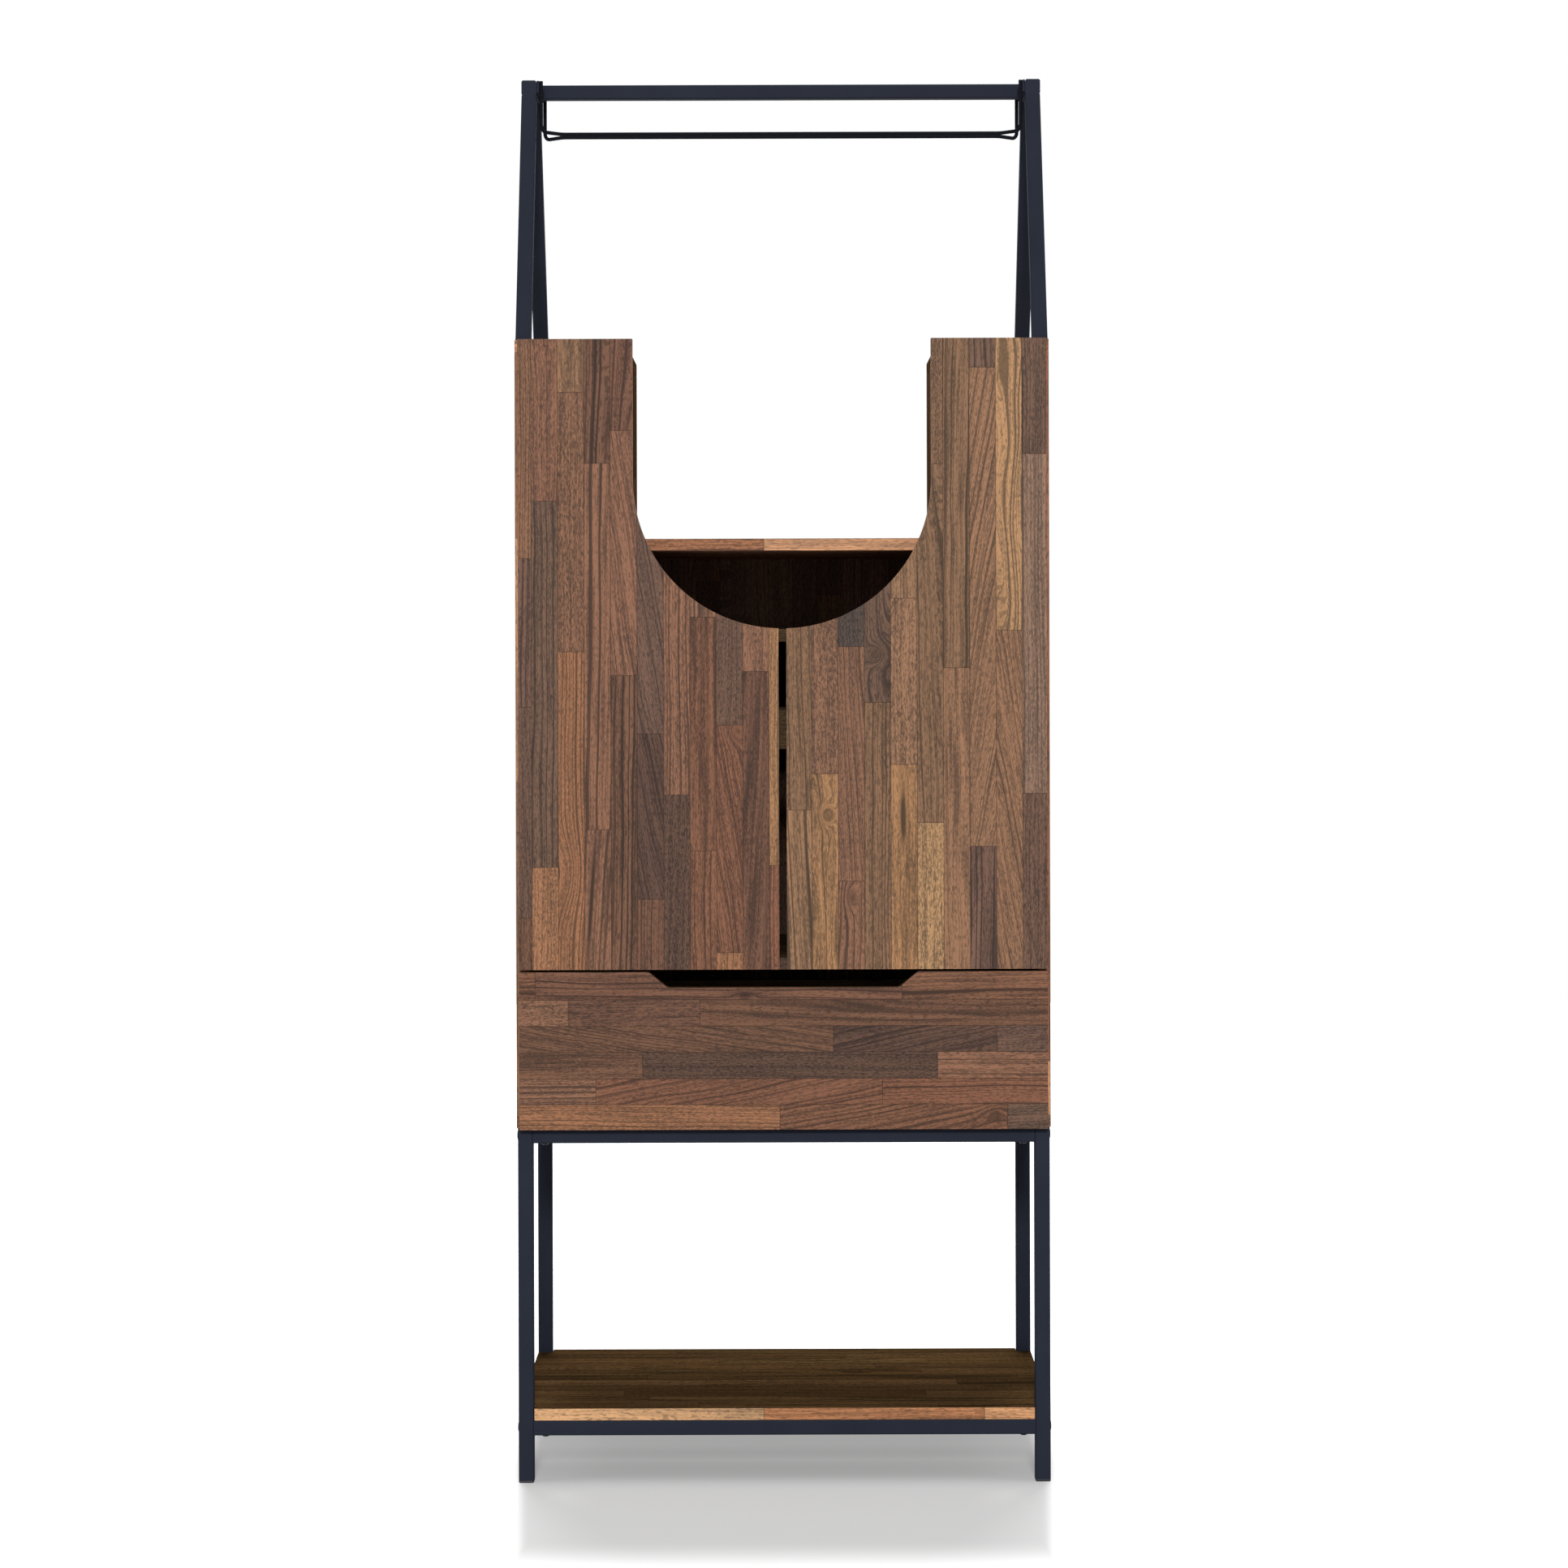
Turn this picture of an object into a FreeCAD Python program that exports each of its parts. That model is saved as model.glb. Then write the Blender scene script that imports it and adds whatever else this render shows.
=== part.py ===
import FreeCAD, Part
import os
from math import cos, hypot, pi, sqrt, tan

# A wine cabinet: a laminated carcass on a steel leg frame, with a pair of arched doors, one drawer,
# an open display niche and a steel gallery on top from which stemmed glasses hang.
# Millimetres. X runs to the right, Y to the rear and Z up, from the floor under the middle.

Vec = FreeCAD.Vector
along_x = Vec(1, 0, 0)
along_y = Vec(0, 1, 0)
along_z = Vec(0, 0, 1)
overrun = 2.0                     # how far a cutting shape passes the face that it opens
fit_gap = 0.1                     # clearance of a piece that is set into a bore or a groove
running_gap = 0.3                 # clearance between faces that pass each other
pin_gap = 0.05                    # radial clearance of a pin that turns
parallel_limit = 0.001            # cross product of two directions that count as parallel
peg_sides = 6                     # facets round a small fastener and its hole
bar_sides = 10                    # facets round a cam, an axle, a knuckle or a rack rod
diagonal_share = sqrt(0.5)        # of a radius, at the middle of a quarter turn

# Carcass
cabinet_width = 700.0
carcass_depth = 380.0
board = 16.0
back_sheet = 3.0
back_inset = 1.5                  # the backs stop short of the carcass edges
drawer_bay = 191.0                # clear heights, from the bottom upwards
lower_bay = 414.0
upper_bay = 103.0
tower_bay = 245.0
niche_width = 412.0

# Leg frame
leg_height = 465.0
tube = 20.0
tube_wall = 1.2
tube_corner = 1.6                 # width of the eased corners
frame_inset = 1.3                 # the frame stands in from the carcass sides
shelf_rail_height = 62.0          # floor to the underside of the shelf rails
shelf_clearance = 0.5
foot_flange = 3.0
foot_plug = 14.0
foot_ease = 1.2
end_plate = 3.0                   # threaded plate in the end of a cross rail
bolt_radius = 3.0
bolt_hole_gap = 0.2
bolt_head_radius = 6.0
bolt_head = 1.2
bolt_grip = 8.0                   # how far a bolt runs into a rail
rail_screw_radius = 2.5
rail_screw_head_radius = 5.0
rail_screw_head = 2.6
rail_screw_bite = 10.0
rail_screw_inset = 15.0           # from a rail's end to its screw

# Bottle rails
bottle_rail_height = 52.0
bottle_headroom = 89.0            # from the rails up to the middle shelf
bottle_count = 6
bottle_pitch = 110.0
neck_scallop = 21.0
body_scallop = 42.0
body_scallop_depth = 40.0
rear_rail_setback = 230.0

# Cam locks
cam_radius = 7.5
cam_height = 12.0
cam_setback = 34.0                # from a board's end to the cam's axis
cam_edge_inset = 60.0             # from a board's front or rear edge to the cam's axis
cam_dowel_radius = 3.5
cam_dowel_bite = 11.0

# Doors
door_gap = 3.0                    # between the doors and the carcass
door_reveal = 5.0                 # side panel left uncovered beside a door
meeting_gap = 10.0
roof_reveal = 0.5
deck_lap = 14.0                   # how far the doors cover the deck's edge
front_gap = 3.0                   # between the doors and the drawer front
arch_radius = 195.0
arch_rise = 1.0                   # foot of the arch above the middle shelf

# Hinges
hinge_inset = 95.0                # from a door's top or bottom to its hinges
cup_radius = 17.5
cup_wall = 1.0
cup_depth = 12.5
cup_edge = 3.0
flange_height = 60.0
flange_width = 16.0
flange_sheet = 1.0
pin_edge = 7.4
pin_depth = 9.0
pin_radius = 1.25
knuckle_radius = 2.3
arm_height = 10.0
arm_neck = 2.2
arm_sheet = 3.0
arm_ease = 1.2
arm_door_gap = 1.1                # between an arm and a door that stands square
arm_length = 72.0
hinge_plate_height = 34.0
hinge_plate_length = 46.0
hinge_plate_setback = 22.0

# Catches and stop pads
catch_width = 42.0
catch_depth = 14.0
catch_height = 12.0
catch_inset = 3.0                 # from a door's free edge to the catch
strike_sheet = 1.0
strike_margin = 4.0
pad_radius = 4.0
pad_inset = 8.0
deck_pad_offset = 70.0            # from the middle to the stop pads on the deck

# Drawer
notch_width = 352.0
notch_depth = 20.5
notch_slope = 25.0
notch_corner = 12.0
drawer_board = 12.0
drawer_sheet = 3.0
drawer_side_height = 130.0
drawer_length = 350.0
drawer_lift = 16.0                # drawer sides above the bottom board
groove_depth = 6.0
groove_lift = 9.0

# Roller runners
runner_space = 12.5               # between a drawer side and a side panel
runner_steel = 1.2
runner_setback = 2.0
runner_lift = 17.5                # track above the bottom board
runner_height = 23.5
runner_lip = 3.8
track_gap = 0.5                   # between the track's edge and the drawer runner
roller_radius = 8.0
roller_width = 6.0
roller_axle = 2.5
roller_inset = 12.0
axle_end = 0.3
flange_lift = 0.8                 # drawer runner's flange above its own roller
flange_reach = 8.3

# Gallery
gallery_height = 360.0
gallery_base = 354.0              # depth of an A-frame at its foot
apex_setback = 115.0
apex_length = 90.0
foot_bar = 4.0
foot_screw_radius = 2.0
foot_screw_head_radius = 4.0
foot_screw_head = 2.2
foot_screw_bite = 12.0
foot_screw_inset = 62.0
top_rail_tube = 19.0

# Glass rack
rack_plate_sheet = 3.5
rack_plate_height = 16.0
rack_plate_margin = 4.0
rack_rod_radius = 2.5
rack_drop = 68.0                  # from the gallery's top to the rods
hanger_spacing = 74.0
stem_spacing = 28.0
rack_flare = 26.0                 # length over which the rods close up to the stem slot
hanger_bend = 9.0
flare_bend = 15.0

# Places that follow from the sizes
half_width = cabinet_width / 2
inner_half = half_width - board
niche_half = niche_width / 2
overall_depth = carcass_depth + door_gap + board
rear = overall_depth / 2
front = rear - carcass_depth
board_rear = rear - back_sheet
door_back = front - door_gap
door_front = door_back - board
bottom_top = leg_height + board
deck_low = bottom_top + drawer_bay
deck_top = deck_low + board
middle_low = deck_top + lower_bay
middle_top = middle_low + board
niche_low = middle_top + upper_bay
niche_top = niche_low + board
roof_low = niche_top + tower_bay
roof_top = roof_low + board
depth_span = (front, board_rear)

frame_half = half_width - frame_inset
leg_inner = frame_half - tube
front_tube = (front, front + tube)
rear_tube = (rear - tube, rear)
top_rail_span = (leg_height - tube, leg_height)
shelf_rail_span = (shelf_rail_height, shelf_rail_height + tube)
shelf_top = shelf_rail_span[1] + board

door_low = deck_top - deck_lap
door_top = roof_top - roof_reveal
door_edge = half_width - door_reveal
meeting_edge = meeting_gap / 2
arch_z = middle_top + arch_rise + arch_radius
drawer_front_top = door_low - front_gap
bottle_rail_top = middle_low - bottle_headroom
bottle_rail_span = (bottle_rail_top - bottle_rail_height, bottle_rail_top)


def middle(span):
    return (span[0] + span[1]) / 2


def box(x, y, z):
    """Block between the low and high values of each axis."""
    return Part.makeBox(x[1] - x[0], y[1] - y[0], z[1] - z[0], Vec(x[0], y[0], z[0]))


def rod(start, end, radius):
    """Round bar between two points."""
    path = end - start
    return Part.makeCylinder(radius, path.Length, start, path)


def facet_bar(start, end, radius, sides):
    """Bar of several equal sides between two points, with its corners at the radius."""
    path = end - start
    across = along_y if path.cross(along_x).Length < parallel_limit else along_x
    corner = path.cross(across).normalize() * radius
    turn = FreeCAD.Rotation(path, 360 / sides)
    corners = []
    for number in range(sides):
        corners.append(start + corner)
        corner = turn.multVec(corner)
    return Part.Face(Part.makePolygon(corners + corners[:1])).extrude(path)


def peg(start, end, radius):
    return facet_bar(start, end, radius, peg_sides)


def bar(start, end, radius):
    return facet_bar(start, end, radius, bar_sides)


def bar_bore(start, end, radius):
    """Bore past both ends of a hub, whose flats clear the corners of a bar that it turns on."""
    past = (end - start).normalize() * overrun
    return bar(start - past, end + past, radius / cos(pi / bar_sides) + pin_gap)


def mirrored(shape):
    return shape.mirror(Vec(0, 0, 0), along_x)


def both_sides(shape):
    """Left-hand copy and right-hand original of a piece."""
    return [mirrored(shape), shape]


def on_both_sides(solids):
    return [copy for solid in solids for copy in both_sides(solid)]


def left_of(solids):
    return [mirrored(solid) for solid in solids]


def eased_bar(x, y, z, axis):
    """Block whose corners along one axis are eased."""
    bar = box(x, y, z)
    edges = [e for e in bar.Edges if e.tangentAt(e.FirstParameter).cross(axis).Length < parallel_limit]
    return bar.makeChamfer(tube_corner, edges)


def steel_tube(x, y, z, axis, plate=0):
    """Square tube along one axis, open at its ends or closed by plates."""
    end = plate if plate else -overrun
    spans = [(s[0] + (end if a else tube_wall), s[1] - (end if a else tube_wall))
             for s, a in zip((x, y, z), axis)]
    return eased_bar(x, y, z, axis).cut(box(*spans))


def outline_solid(points, arcs, y):
    """Plate cut to an outline in X and Z. An arc is keyed by its start and holds its middle point."""
    edges = []
    for number, start in enumerate(points):
        end = points[(number + 1) % len(points)]
        if number in arcs:
            edges.append(Part.Arc(start, arcs[number], end).toShape())
        else:
            edges.append(Part.LineSegment(start, end).toShape())
    face = Part.Face(Part.Wire(edges))
    return face.extrude(along_y * (y[1] - y[0]))


# Leg frame

def frame_bolt(y, z, inner):
    """Low-headed bolt from the outer face of the frame into the end of a rail."""
    head_face = Vec(frame_half, y, z)
    head = peg(head_face, head_face + along_x * bolt_head, bolt_head_radius)
    shank = peg(Vec(inner - bolt_grip, y, z), head_face, bolt_radius)
    return head.fuse(shank)


def bolt_hole(y, z, inner):
    return peg(Vec(inner - bolt_grip - overrun, y, z), Vec(half_width + overrun, y, z),
               bolt_radius + bolt_hole_gap)


frame_joints = [(y, z) for y in (middle(front_tube), middle(rear_tube))
                for z in (middle(top_rail_span), middle(shelf_rail_span))]


def leg(y):
    post = steel_tube((leg_inner, frame_half), y, (foot_flange, leg_height), along_z)
    holes = [bolt_hole(*place, leg_inner) for place in frame_joints]
    return post.cut(holes)


def foot_cap(y):
    flange = eased_bar((leg_inner, frame_half), y, (0, foot_flange), along_z)
    floor_edges = [e for e in flange.Edges if e.BoundBox.ZMax < foot_flange / 2]
    flange = flange.makeChamfer(foot_ease, floor_edges)
    inset = tube_wall + fit_gap
    plug = box((leg_inner + inset, frame_half - inset), (y[0] + inset, y[1] - inset),
               (foot_ease, foot_plug))
    return flange.fuse(plug).removeSplitter()


def side_rails():
    run = (front_tube[1], rear_tube[0])
    return [steel_tube((leg_inner, frame_half), run, z, along_y) for z in (top_rail_span, shelf_rail_span)]


rail_screw_x = leg_inner - rail_screw_inset


def rail_screws(y, z):
    """Two screws up through a cross rail into the board that lies on it."""
    solids = []
    for x in (-rail_screw_x, rail_screw_x):
        seat = Vec(x, middle(y), z[0])
        head = peg(seat - along_z * rail_screw_head, seat, rail_screw_head_radius)
        tip = Vec(x, middle(y), z[1] + rail_screw_bite)
        solids.append(head.fuse(peg(seat, tip, rail_screw_radius)))
    return solids


def rail_screw_holes(y, z):
    return [peg(Vec(x, middle(y), z[0] - overrun), Vec(x, middle(y), z[1] + rail_screw_bite + fit_gap),
                rail_screw_radius + fit_gap) for x in (-rail_screw_x, rail_screw_x)]


def cross_rail(y, z):
    rail = steel_tube((-leg_inner, leg_inner), y, z, along_x, end_plate)
    threads = peg(Vec(-half_width, middle(y), middle(z)), Vec(half_width, middle(y), middle(z)),
                  bolt_radius + pin_gap)
    return rail.cut([threads] + rail_screw_holes(y, z))


def lower_shelf():
    """Board that fills the frame to its outer faces and is notched round the legs."""
    shelf = box((-frame_half, frame_half), (front, rear), (shelf_rail_span[1], shelf_top))
    notch_x = (leg_inner - shelf_clearance, half_width)
    front_notch = box(notch_x, (front - overrun, front_tube[1] + shelf_clearance),
                      (shelf_rail_span[0], shelf_top + overrun))
    rear_notch = box(notch_x, (rear_tube[0] - shelf_clearance, rear + overrun),
                     (shelf_rail_span[0], shelf_top + overrun))
    cuts = both_sides(front_notch) + both_sides(rear_notch)
    for y in (front_tube, rear_tube):
        cuts += rail_screw_holes(y, shelf_rail_span)
    return shelf.cut(cuts)


# Carcass

cam_x = inner_half - cam_setback
cam_rows = (front + cam_edge_inset, board_rear - cam_edge_inset)
locked_boards = (deck_low, middle_low, niche_low)


def cam_locks():
    solids = []
    for z in locked_boards:
        for y in cam_rows:
            solids += both_sides(bar(Vec(cam_x, y, z), Vec(cam_x, y, z + cam_height), cam_radius))
    return solids


def cam_dowel(y, z):
    height = z + board / 2
    tip = Vec(inner_half + cam_dowel_bite, y, height)
    return peg(Vec(cam_x + cam_radius, y, height), tip, cam_dowel_radius)


def cam_dowels():
    return [solid for z in locked_boards for y in cam_rows for solid in both_sides(cam_dowel(y, z))]


def dowel_bore(y, z):
    height = z + board / 2
    end = Vec(inner_half + cam_dowel_bite + fit_gap, y, height)
    return peg(Vec(cam_x, y, height), end, cam_dowel_radius + fit_gap)


def locked_board(z):
    """Shelf between the side panels, bored from below for its cams and from its ends for their dowels."""
    shelf = box((-inner_half, inner_half), depth_span, (z, z + board))
    cuts = []
    for y in cam_rows:
        bore_end = Vec(cam_x, y, z + cam_height + fit_gap)
        bore = bar(Vec(cam_x, y, z - overrun), bore_end, cam_radius + fit_gap)
        cuts += both_sides(bore) + both_sides(dowel_bore(y, z))
    return shelf.cut(cuts)


def side_panel():
    panel = box((inner_half, half_width), depth_span, (bottom_top, roof_low))
    return panel.cut([dowel_bore(y, z) for z in locked_boards for y in cam_rows])


def bottom_board():
    base = box((-half_width, half_width), depth_span, (leg_height, bottom_top))
    holes = rail_screw_holes(front_tube, top_rail_span) + rail_screw_holes(rear_tube, top_rail_span)
    return base.cut(holes)


def tower_wall():
    return box((niche_half, niche_half + board), depth_span, (niche_top, roof_low))


foot_screw_x = frame_half - tube / 2
foot_screw_rows = (front + foot_screw_inset, front + gallery_base - foot_screw_inset)


def foot_screw_hole(y, low, top):
    return peg(Vec(foot_screw_x, y, low), Vec(foot_screw_x, y, top), foot_screw_radius + fit_gap)


def top_board():
    roof = box((niche_half, half_width), depth_span, (roof_low, roof_top))
    bore_low = roof_top - foot_screw_bite - fit_gap
    return roof.cut([foot_screw_hole(y, bore_low, roof_top + overrun) for y in foot_screw_rows])


def back_panel():
    return box((-half_width + back_inset, half_width - back_inset), (board_rear, rear),
               (leg_height + back_inset, middle((niche_low, niche_top))))


def tower_back():
    return box((niche_half + back_inset, half_width - back_inset), (board_rear, rear),
               (middle((niche_low, niche_top)), roof_top - back_inset))


def bottle_rail(y, radius, depth):
    """Rail between the side panels with a row of round scallops in its top edge."""
    rail = box((-inner_half, inner_half), (y, y + board), bottle_rail_span)
    z = bottle_rail_top - depth + radius
    scallops = []
    for number in range(bottle_count):
        x = (number - (bottle_count - 1) / 2) * bottle_pitch
        scallops.append(rod(Vec(x, y - overrun, z), Vec(x, y + board + overrun, z), radius))
    return rail.cut(scallops)


# Doors and hinges, drawn for the right-hand door

cup_x = door_edge - cup_edge - cup_radius
pin_x = door_edge - pin_edge
pin_y = door_back - pin_depth
arm_face = pin_x - pin_depth - arm_door_gap
hinge_rows = (door_low + hinge_inset, door_top - hinge_inset)


def cup_cylinder(z, radius, depth, start):
    return rod(Vec(cup_x, start, z), Vec(cup_x, door_back - depth, z), radius)


def door():
    """Leaf with a quarter of the arch cut from its inner top corner."""
    low_arch = sqrt(arch_radius ** 2 - meeting_edge ** 2)
    half_chord = arch_radius * diagonal_share
    points = [Vec(meeting_edge, door_front, door_low), Vec(door_edge, door_front, door_low),
              Vec(door_edge, door_front, door_top), Vec(arch_radius, door_front, door_top),
              Vec(arch_radius, door_front, arch_z), Vec(meeting_edge, door_front, arch_z - low_arch)]
    arcs = {4: Vec(half_chord, door_front, arch_z - half_chord)}
    leaf = outline_solid(points, arcs, (door_front, door_back))
    bore = (cup_radius + fit_gap, cup_depth + fit_gap, door_back + overrun)
    return leaf.cut([cup_cylinder(z, *bore) for z in hinge_rows])


def hinge_pin(z):
    """Pin across the cup, as long as the cup is wide beside it."""
    reach = sqrt((cup_radius - cup_wall) ** 2 - (pin_x + pin_radius - cup_x) ** 2)
    return rod(Vec(pin_x, pin_y, z - reach), Vec(pin_x, pin_y, z + reach), pin_radius)


def hinge_cup(z):
    """Pressed cup with a screw flange on the side away from the door's edge."""
    outer = cup_cylinder(z, cup_radius, cup_depth, door_back)
    flange = box((cup_x - flange_width, cup_x), (door_back, door_back + flange_sheet),
                 (z - flange_height / 2, z + flange_height / 2))
    inside = cup_cylinder(z, cup_radius - cup_wall, cup_depth - cup_wall, door_back + overrun)
    return outer.fuse(flange).cut(inside)


def hinge_arm(z):
    """Gooseneck arm: a knuckle on the pin, a neck out of the cup and a leg along the side panel."""
    low = z - arm_height / 2
    top = z + arm_height / 2
    knuckle = bar(Vec(pin_x, pin_y, low), Vec(pin_x, pin_y, top), knuckle_radius)
    neck_y = (pin_y - arm_neck / 2, pin_y + arm_neck / 2)
    neck = box((arm_face - arm_sheet, pin_x), neck_y, (low, top))
    leg_run = box((arm_face - arm_sheet, arm_face), (neck_y[0], front + arm_length), (low, top))
    bent = neck.fuse(leg_run).removeSplitter()
    corner = [e for e in bent.Edges if e.BoundBox.XMax < arm_face - arm_sheet / 2
              and e.BoundBox.YMax < pin_y and e.BoundBox.ZLength > arm_height / 2]
    bent = bent.makeChamfer(arm_ease, corner)
    bore_ends = (Vec(pin_x, pin_y, low - overrun), Vec(pin_x, pin_y, top + overrun))
    return bent.fuse(knuckle).cut(rod(*bore_ends, pin_radius + pin_gap))


def hinge_plate(z):
    """Block that carries an arm on the side panel, narrower under the arm than at the panel."""
    y = (front + hinge_plate_setback, front + hinge_plate_setback + hinge_plate_length)
    wing_face = middle((arm_face, inner_half))
    wing = box((wing_face, inner_half), (y[0] + hinge_plate_length / 4, y[1] - hinge_plate_length / 4),
               (z - hinge_plate_height / 2, z + hinge_plate_height / 2))
    ridge = box((arm_face, inner_half), y, (z - arm_height / 2, z + arm_height / 2))
    return wing.fuse(ridge).removeSplitter()


def hinge_row(maker):
    return [maker(z) for z in hinge_rows]


catch_x = (meeting_edge + catch_inset, meeting_edge + catch_inset + catch_width)
catch_z = (deck_top, deck_top + catch_height)


def magnet_catch():
    face = door_back + strike_sheet + running_gap
    return box(catch_x, (face, face + catch_depth), catch_z)


def strike_plate():
    return box((catch_x[0] + strike_margin, catch_x[1] - strike_margin),
               (door_back, door_back + strike_sheet), catch_z)


def stop_pads():
    """Soft discs on the carcass edges that the doors and the drawer front close against."""
    places = [(niche_half + pad_inset, door_top - pad_inset), (deck_pad_offset, deck_low + board / 2),
              (inner_half - pad_inset, leg_height + board / 2)]
    solids = []
    for x, z in places:
        solids += both_sides(peg(Vec(x, front, z), Vec(x, door_back + running_gap, z), pad_radius))
    return solids


# Drawer

drawer_half = inner_half - runner_space
drawer_inner = drawer_half - drawer_board
drawer_low = bottom_top + drawer_lift
drawer_high = drawer_low + drawer_side_height
drawer_rear = door_back + drawer_length
sheet_low = drawer_low + groove_lift
sheet_top = sheet_low + drawer_sheet
groove_half = drawer_inner + groove_depth


def bottom_groove():
    return box((-groove_half - fit_gap, groove_half + fit_gap),
               (door_back - groove_depth - fit_gap, drawer_rear + overrun), (sheet_low, sheet_top + fit_gap))


def notch_points():
    """Half of the finger notch: its mouth, the ends of its rounded lower corner and the corner's middle."""
    mouth = notch_width / 2
    foot = mouth - notch_slope
    low = drawer_front_top - notch_depth
    slope = hypot(notch_slope, notch_depth)
    reach = notch_corner * (slope - notch_slope) / notch_depth
    slope_end = Vec(foot + reach * notch_slope / slope, door_front, low + reach * notch_depth / slope)
    floor_end = Vec(foot - reach, door_front, low)
    centre = Vec(foot - reach, door_front, low + notch_corner)
    towards_corner = Vec(foot, door_front, low) - centre
    corner_middle = centre + towards_corner * (notch_corner / towards_corner.Length)
    return Vec(mouth, door_front, drawer_front_top), slope_end, corner_middle, floor_end


def drawer_front():
    """Overlay front with a finger notch in its top edge and a groove for the drawer's bottom."""
    right = notch_points()
    left = [Vec(-p.x, p.y, p.z) for p in right]
    points = [Vec(-door_edge, door_front, leg_height), Vec(door_edge, door_front, leg_height),
              Vec(door_edge, door_front, drawer_front_top), right[0], right[1], right[3],
              left[3], left[1], left[0], Vec(-door_edge, door_front, drawer_front_top)]
    panel = outline_solid(points, {4: right[2], 6: left[2]}, (door_front, door_back))
    return panel.cut(bottom_groove())


def drawer_side():
    side = box((drawer_inner, drawer_half), (door_back, drawer_rear), (drawer_low, drawer_high))
    return side.cut(bottom_groove())


def drawer_back():
    return box((-drawer_inner, drawer_inner), (drawer_rear - drawer_board, drawer_rear),
               (sheet_top + fit_gap, drawer_high))


def drawer_bottom():
    return box((-groove_half, groove_half), (door_back - groove_depth, drawer_rear), (sheet_low, sheet_top))


track_top = bottom_top + runner_lift + runner_steel
drawer_roller_z = track_top + running_gap + roller_radius
flange_low = drawer_roller_z + roller_radius + flange_lift
cabinet_roller_z = flange_low - running_gap - roller_radius
drawer_web = drawer_half + runner_steel
cabinet_web = inner_half - runner_steel
roller_x = middle((drawer_web, cabinet_web))
cabinet_roller_y = front + runner_setback + roller_inset
drawer_runner_rear = drawer_rear - runner_setback
drawer_roller_y = drawer_runner_rear - roller_inset


def axle(start, end, y, z):
    return bar(Vec(start, y, z), Vec(end, y, z), roller_axle)


def cabinet_runner():
    """Channel on the side panel: a track for the drawer's roller and a stub axle for its own."""
    run = (front + runner_setback, front + runner_setback + drawer_length)
    low = track_top - runner_steel
    top = low + runner_height
    web = box((cabinet_web, inner_half), run, (low, top))
    track = box((drawer_web + track_gap, inner_half), run, (low, track_top))
    lip = box((inner_half - runner_lip, inner_half), run, (top - runner_steel, top))
    stub = axle(roller_x - roller_width / 2 - axle_end, cabinet_web, cabinet_roller_y, cabinet_roller_z)
    return web.fuse([track, lip, stub]).removeSplitter()


def drawer_runner():
    """Angle under a drawer side, with an outer flange that rides on the carcass roller."""
    run = (front, drawer_runner_rear)
    web = box((drawer_half, drawer_web), run, (drawer_low - runner_steel, flange_low + runner_steel))
    sole = box((drawer_inner, drawer_web), run, (drawer_low - runner_steel, drawer_low))
    flange = box((drawer_half, drawer_web + flange_reach), run, (flange_low, flange_low + runner_steel))
    stub = axle(drawer_web, roller_x + roller_width / 2 + axle_end, drawer_roller_y, drawer_roller_z)
    return web.fuse([sole, flange, stub]).removeSplitter()


def roller(y, z):
    ends = (Vec(roller_x - roller_width / 2, y, z), Vec(roller_x + roller_width / 2, y, z))
    return rod(*ends, roller_radius).cut(bar_bore(*ends, roller_axle))


# Gallery and glass rack

gallery_top = roof_top + gallery_height
apex_low = gallery_top - tube
apex_span = (front + apex_setback, front + apex_setback + apex_length)
rail_y = middle(apex_span)
rail_z = middle((apex_low, gallery_top))
plate_inner = leg_inner - rack_plate_sheet
post_foot = roof_top + foot_bar
post_rise = apex_low - post_foot


def level(size, lean):
    """Size across a leaning tube measured level instead of square to it."""
    return size * hypot(post_rise, lean) / post_rise


def leaning_bar(foot, lean, inset, ease):
    """Prism with level ends that leans in depth as it rises, drawn in by an inset all round."""
    x = (leg_inner + inset, frame_half - inset)
    y = (foot[0] + level(inset, lean), foot[1] - level(inset, lean))
    places = [(x[0] + ease, y[0]), (x[1] - ease, y[0]), (x[1], y[0] + ease), (x[1], y[1] - ease),
              (x[1] - ease, y[1]), (x[0] + ease, y[1]), (x[0], y[1] - ease), (x[0], y[0] + ease)]
    corners = [Vec(*place, post_foot) for place in dict.fromkeys(places)]
    return Part.Face(Part.makePolygon(corners + corners[:1])).extrude(Vec(0, lean, post_rise))


def a_frame():
    """Welded frame: a flat foot bar, two leaning tubes and a short tube across their heads."""
    base = (front, front + gallery_base)
    front_lean = apex_span[0] - base[0]
    rear_lean = apex_span[1] - base[1]
    posts = [((base[0], base[0] + level(tube, front_lean)), front_lean),
             ((base[1] - level(tube, rear_lean), base[1]), rear_lean)]
    foot = box((leg_inner, frame_half), base, (roof_top, post_foot))
    apex = eased_bar((leg_inner, frame_half), apex_span, (apex_low, gallery_top), along_y)
    frame = foot.fuse([apex] + [leaning_bar(*post, 0, tube_corner) for post in posts])
    apex_hollow = box((leg_inner + tube_wall, frame_half - tube_wall),
                      (apex_span[0] + tube_wall, apex_span[1] - tube_wall),
                      (apex_low + tube_wall, gallery_top - tube_wall))
    hollows = [apex_hollow] + [leaning_bar(*post, tube_wall, 0) for post in posts]
    holes = [foot_screw_hole(y, roof_top - overrun, post_foot + overrun) for y in foot_screw_rows]
    return frame.cut(hollows + holes + [bolt_hole(rail_y, rail_z, plate_inner)])


def foot_screw(y):
    seat = Vec(foot_screw_x, y, post_foot)
    head = peg(seat, seat + along_z * foot_screw_head, foot_screw_head_radius)
    shank = peg(Vec(foot_screw_x, y, roof_top - foot_screw_bite), seat, foot_screw_radius)
    return head.fuse(shank)


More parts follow.
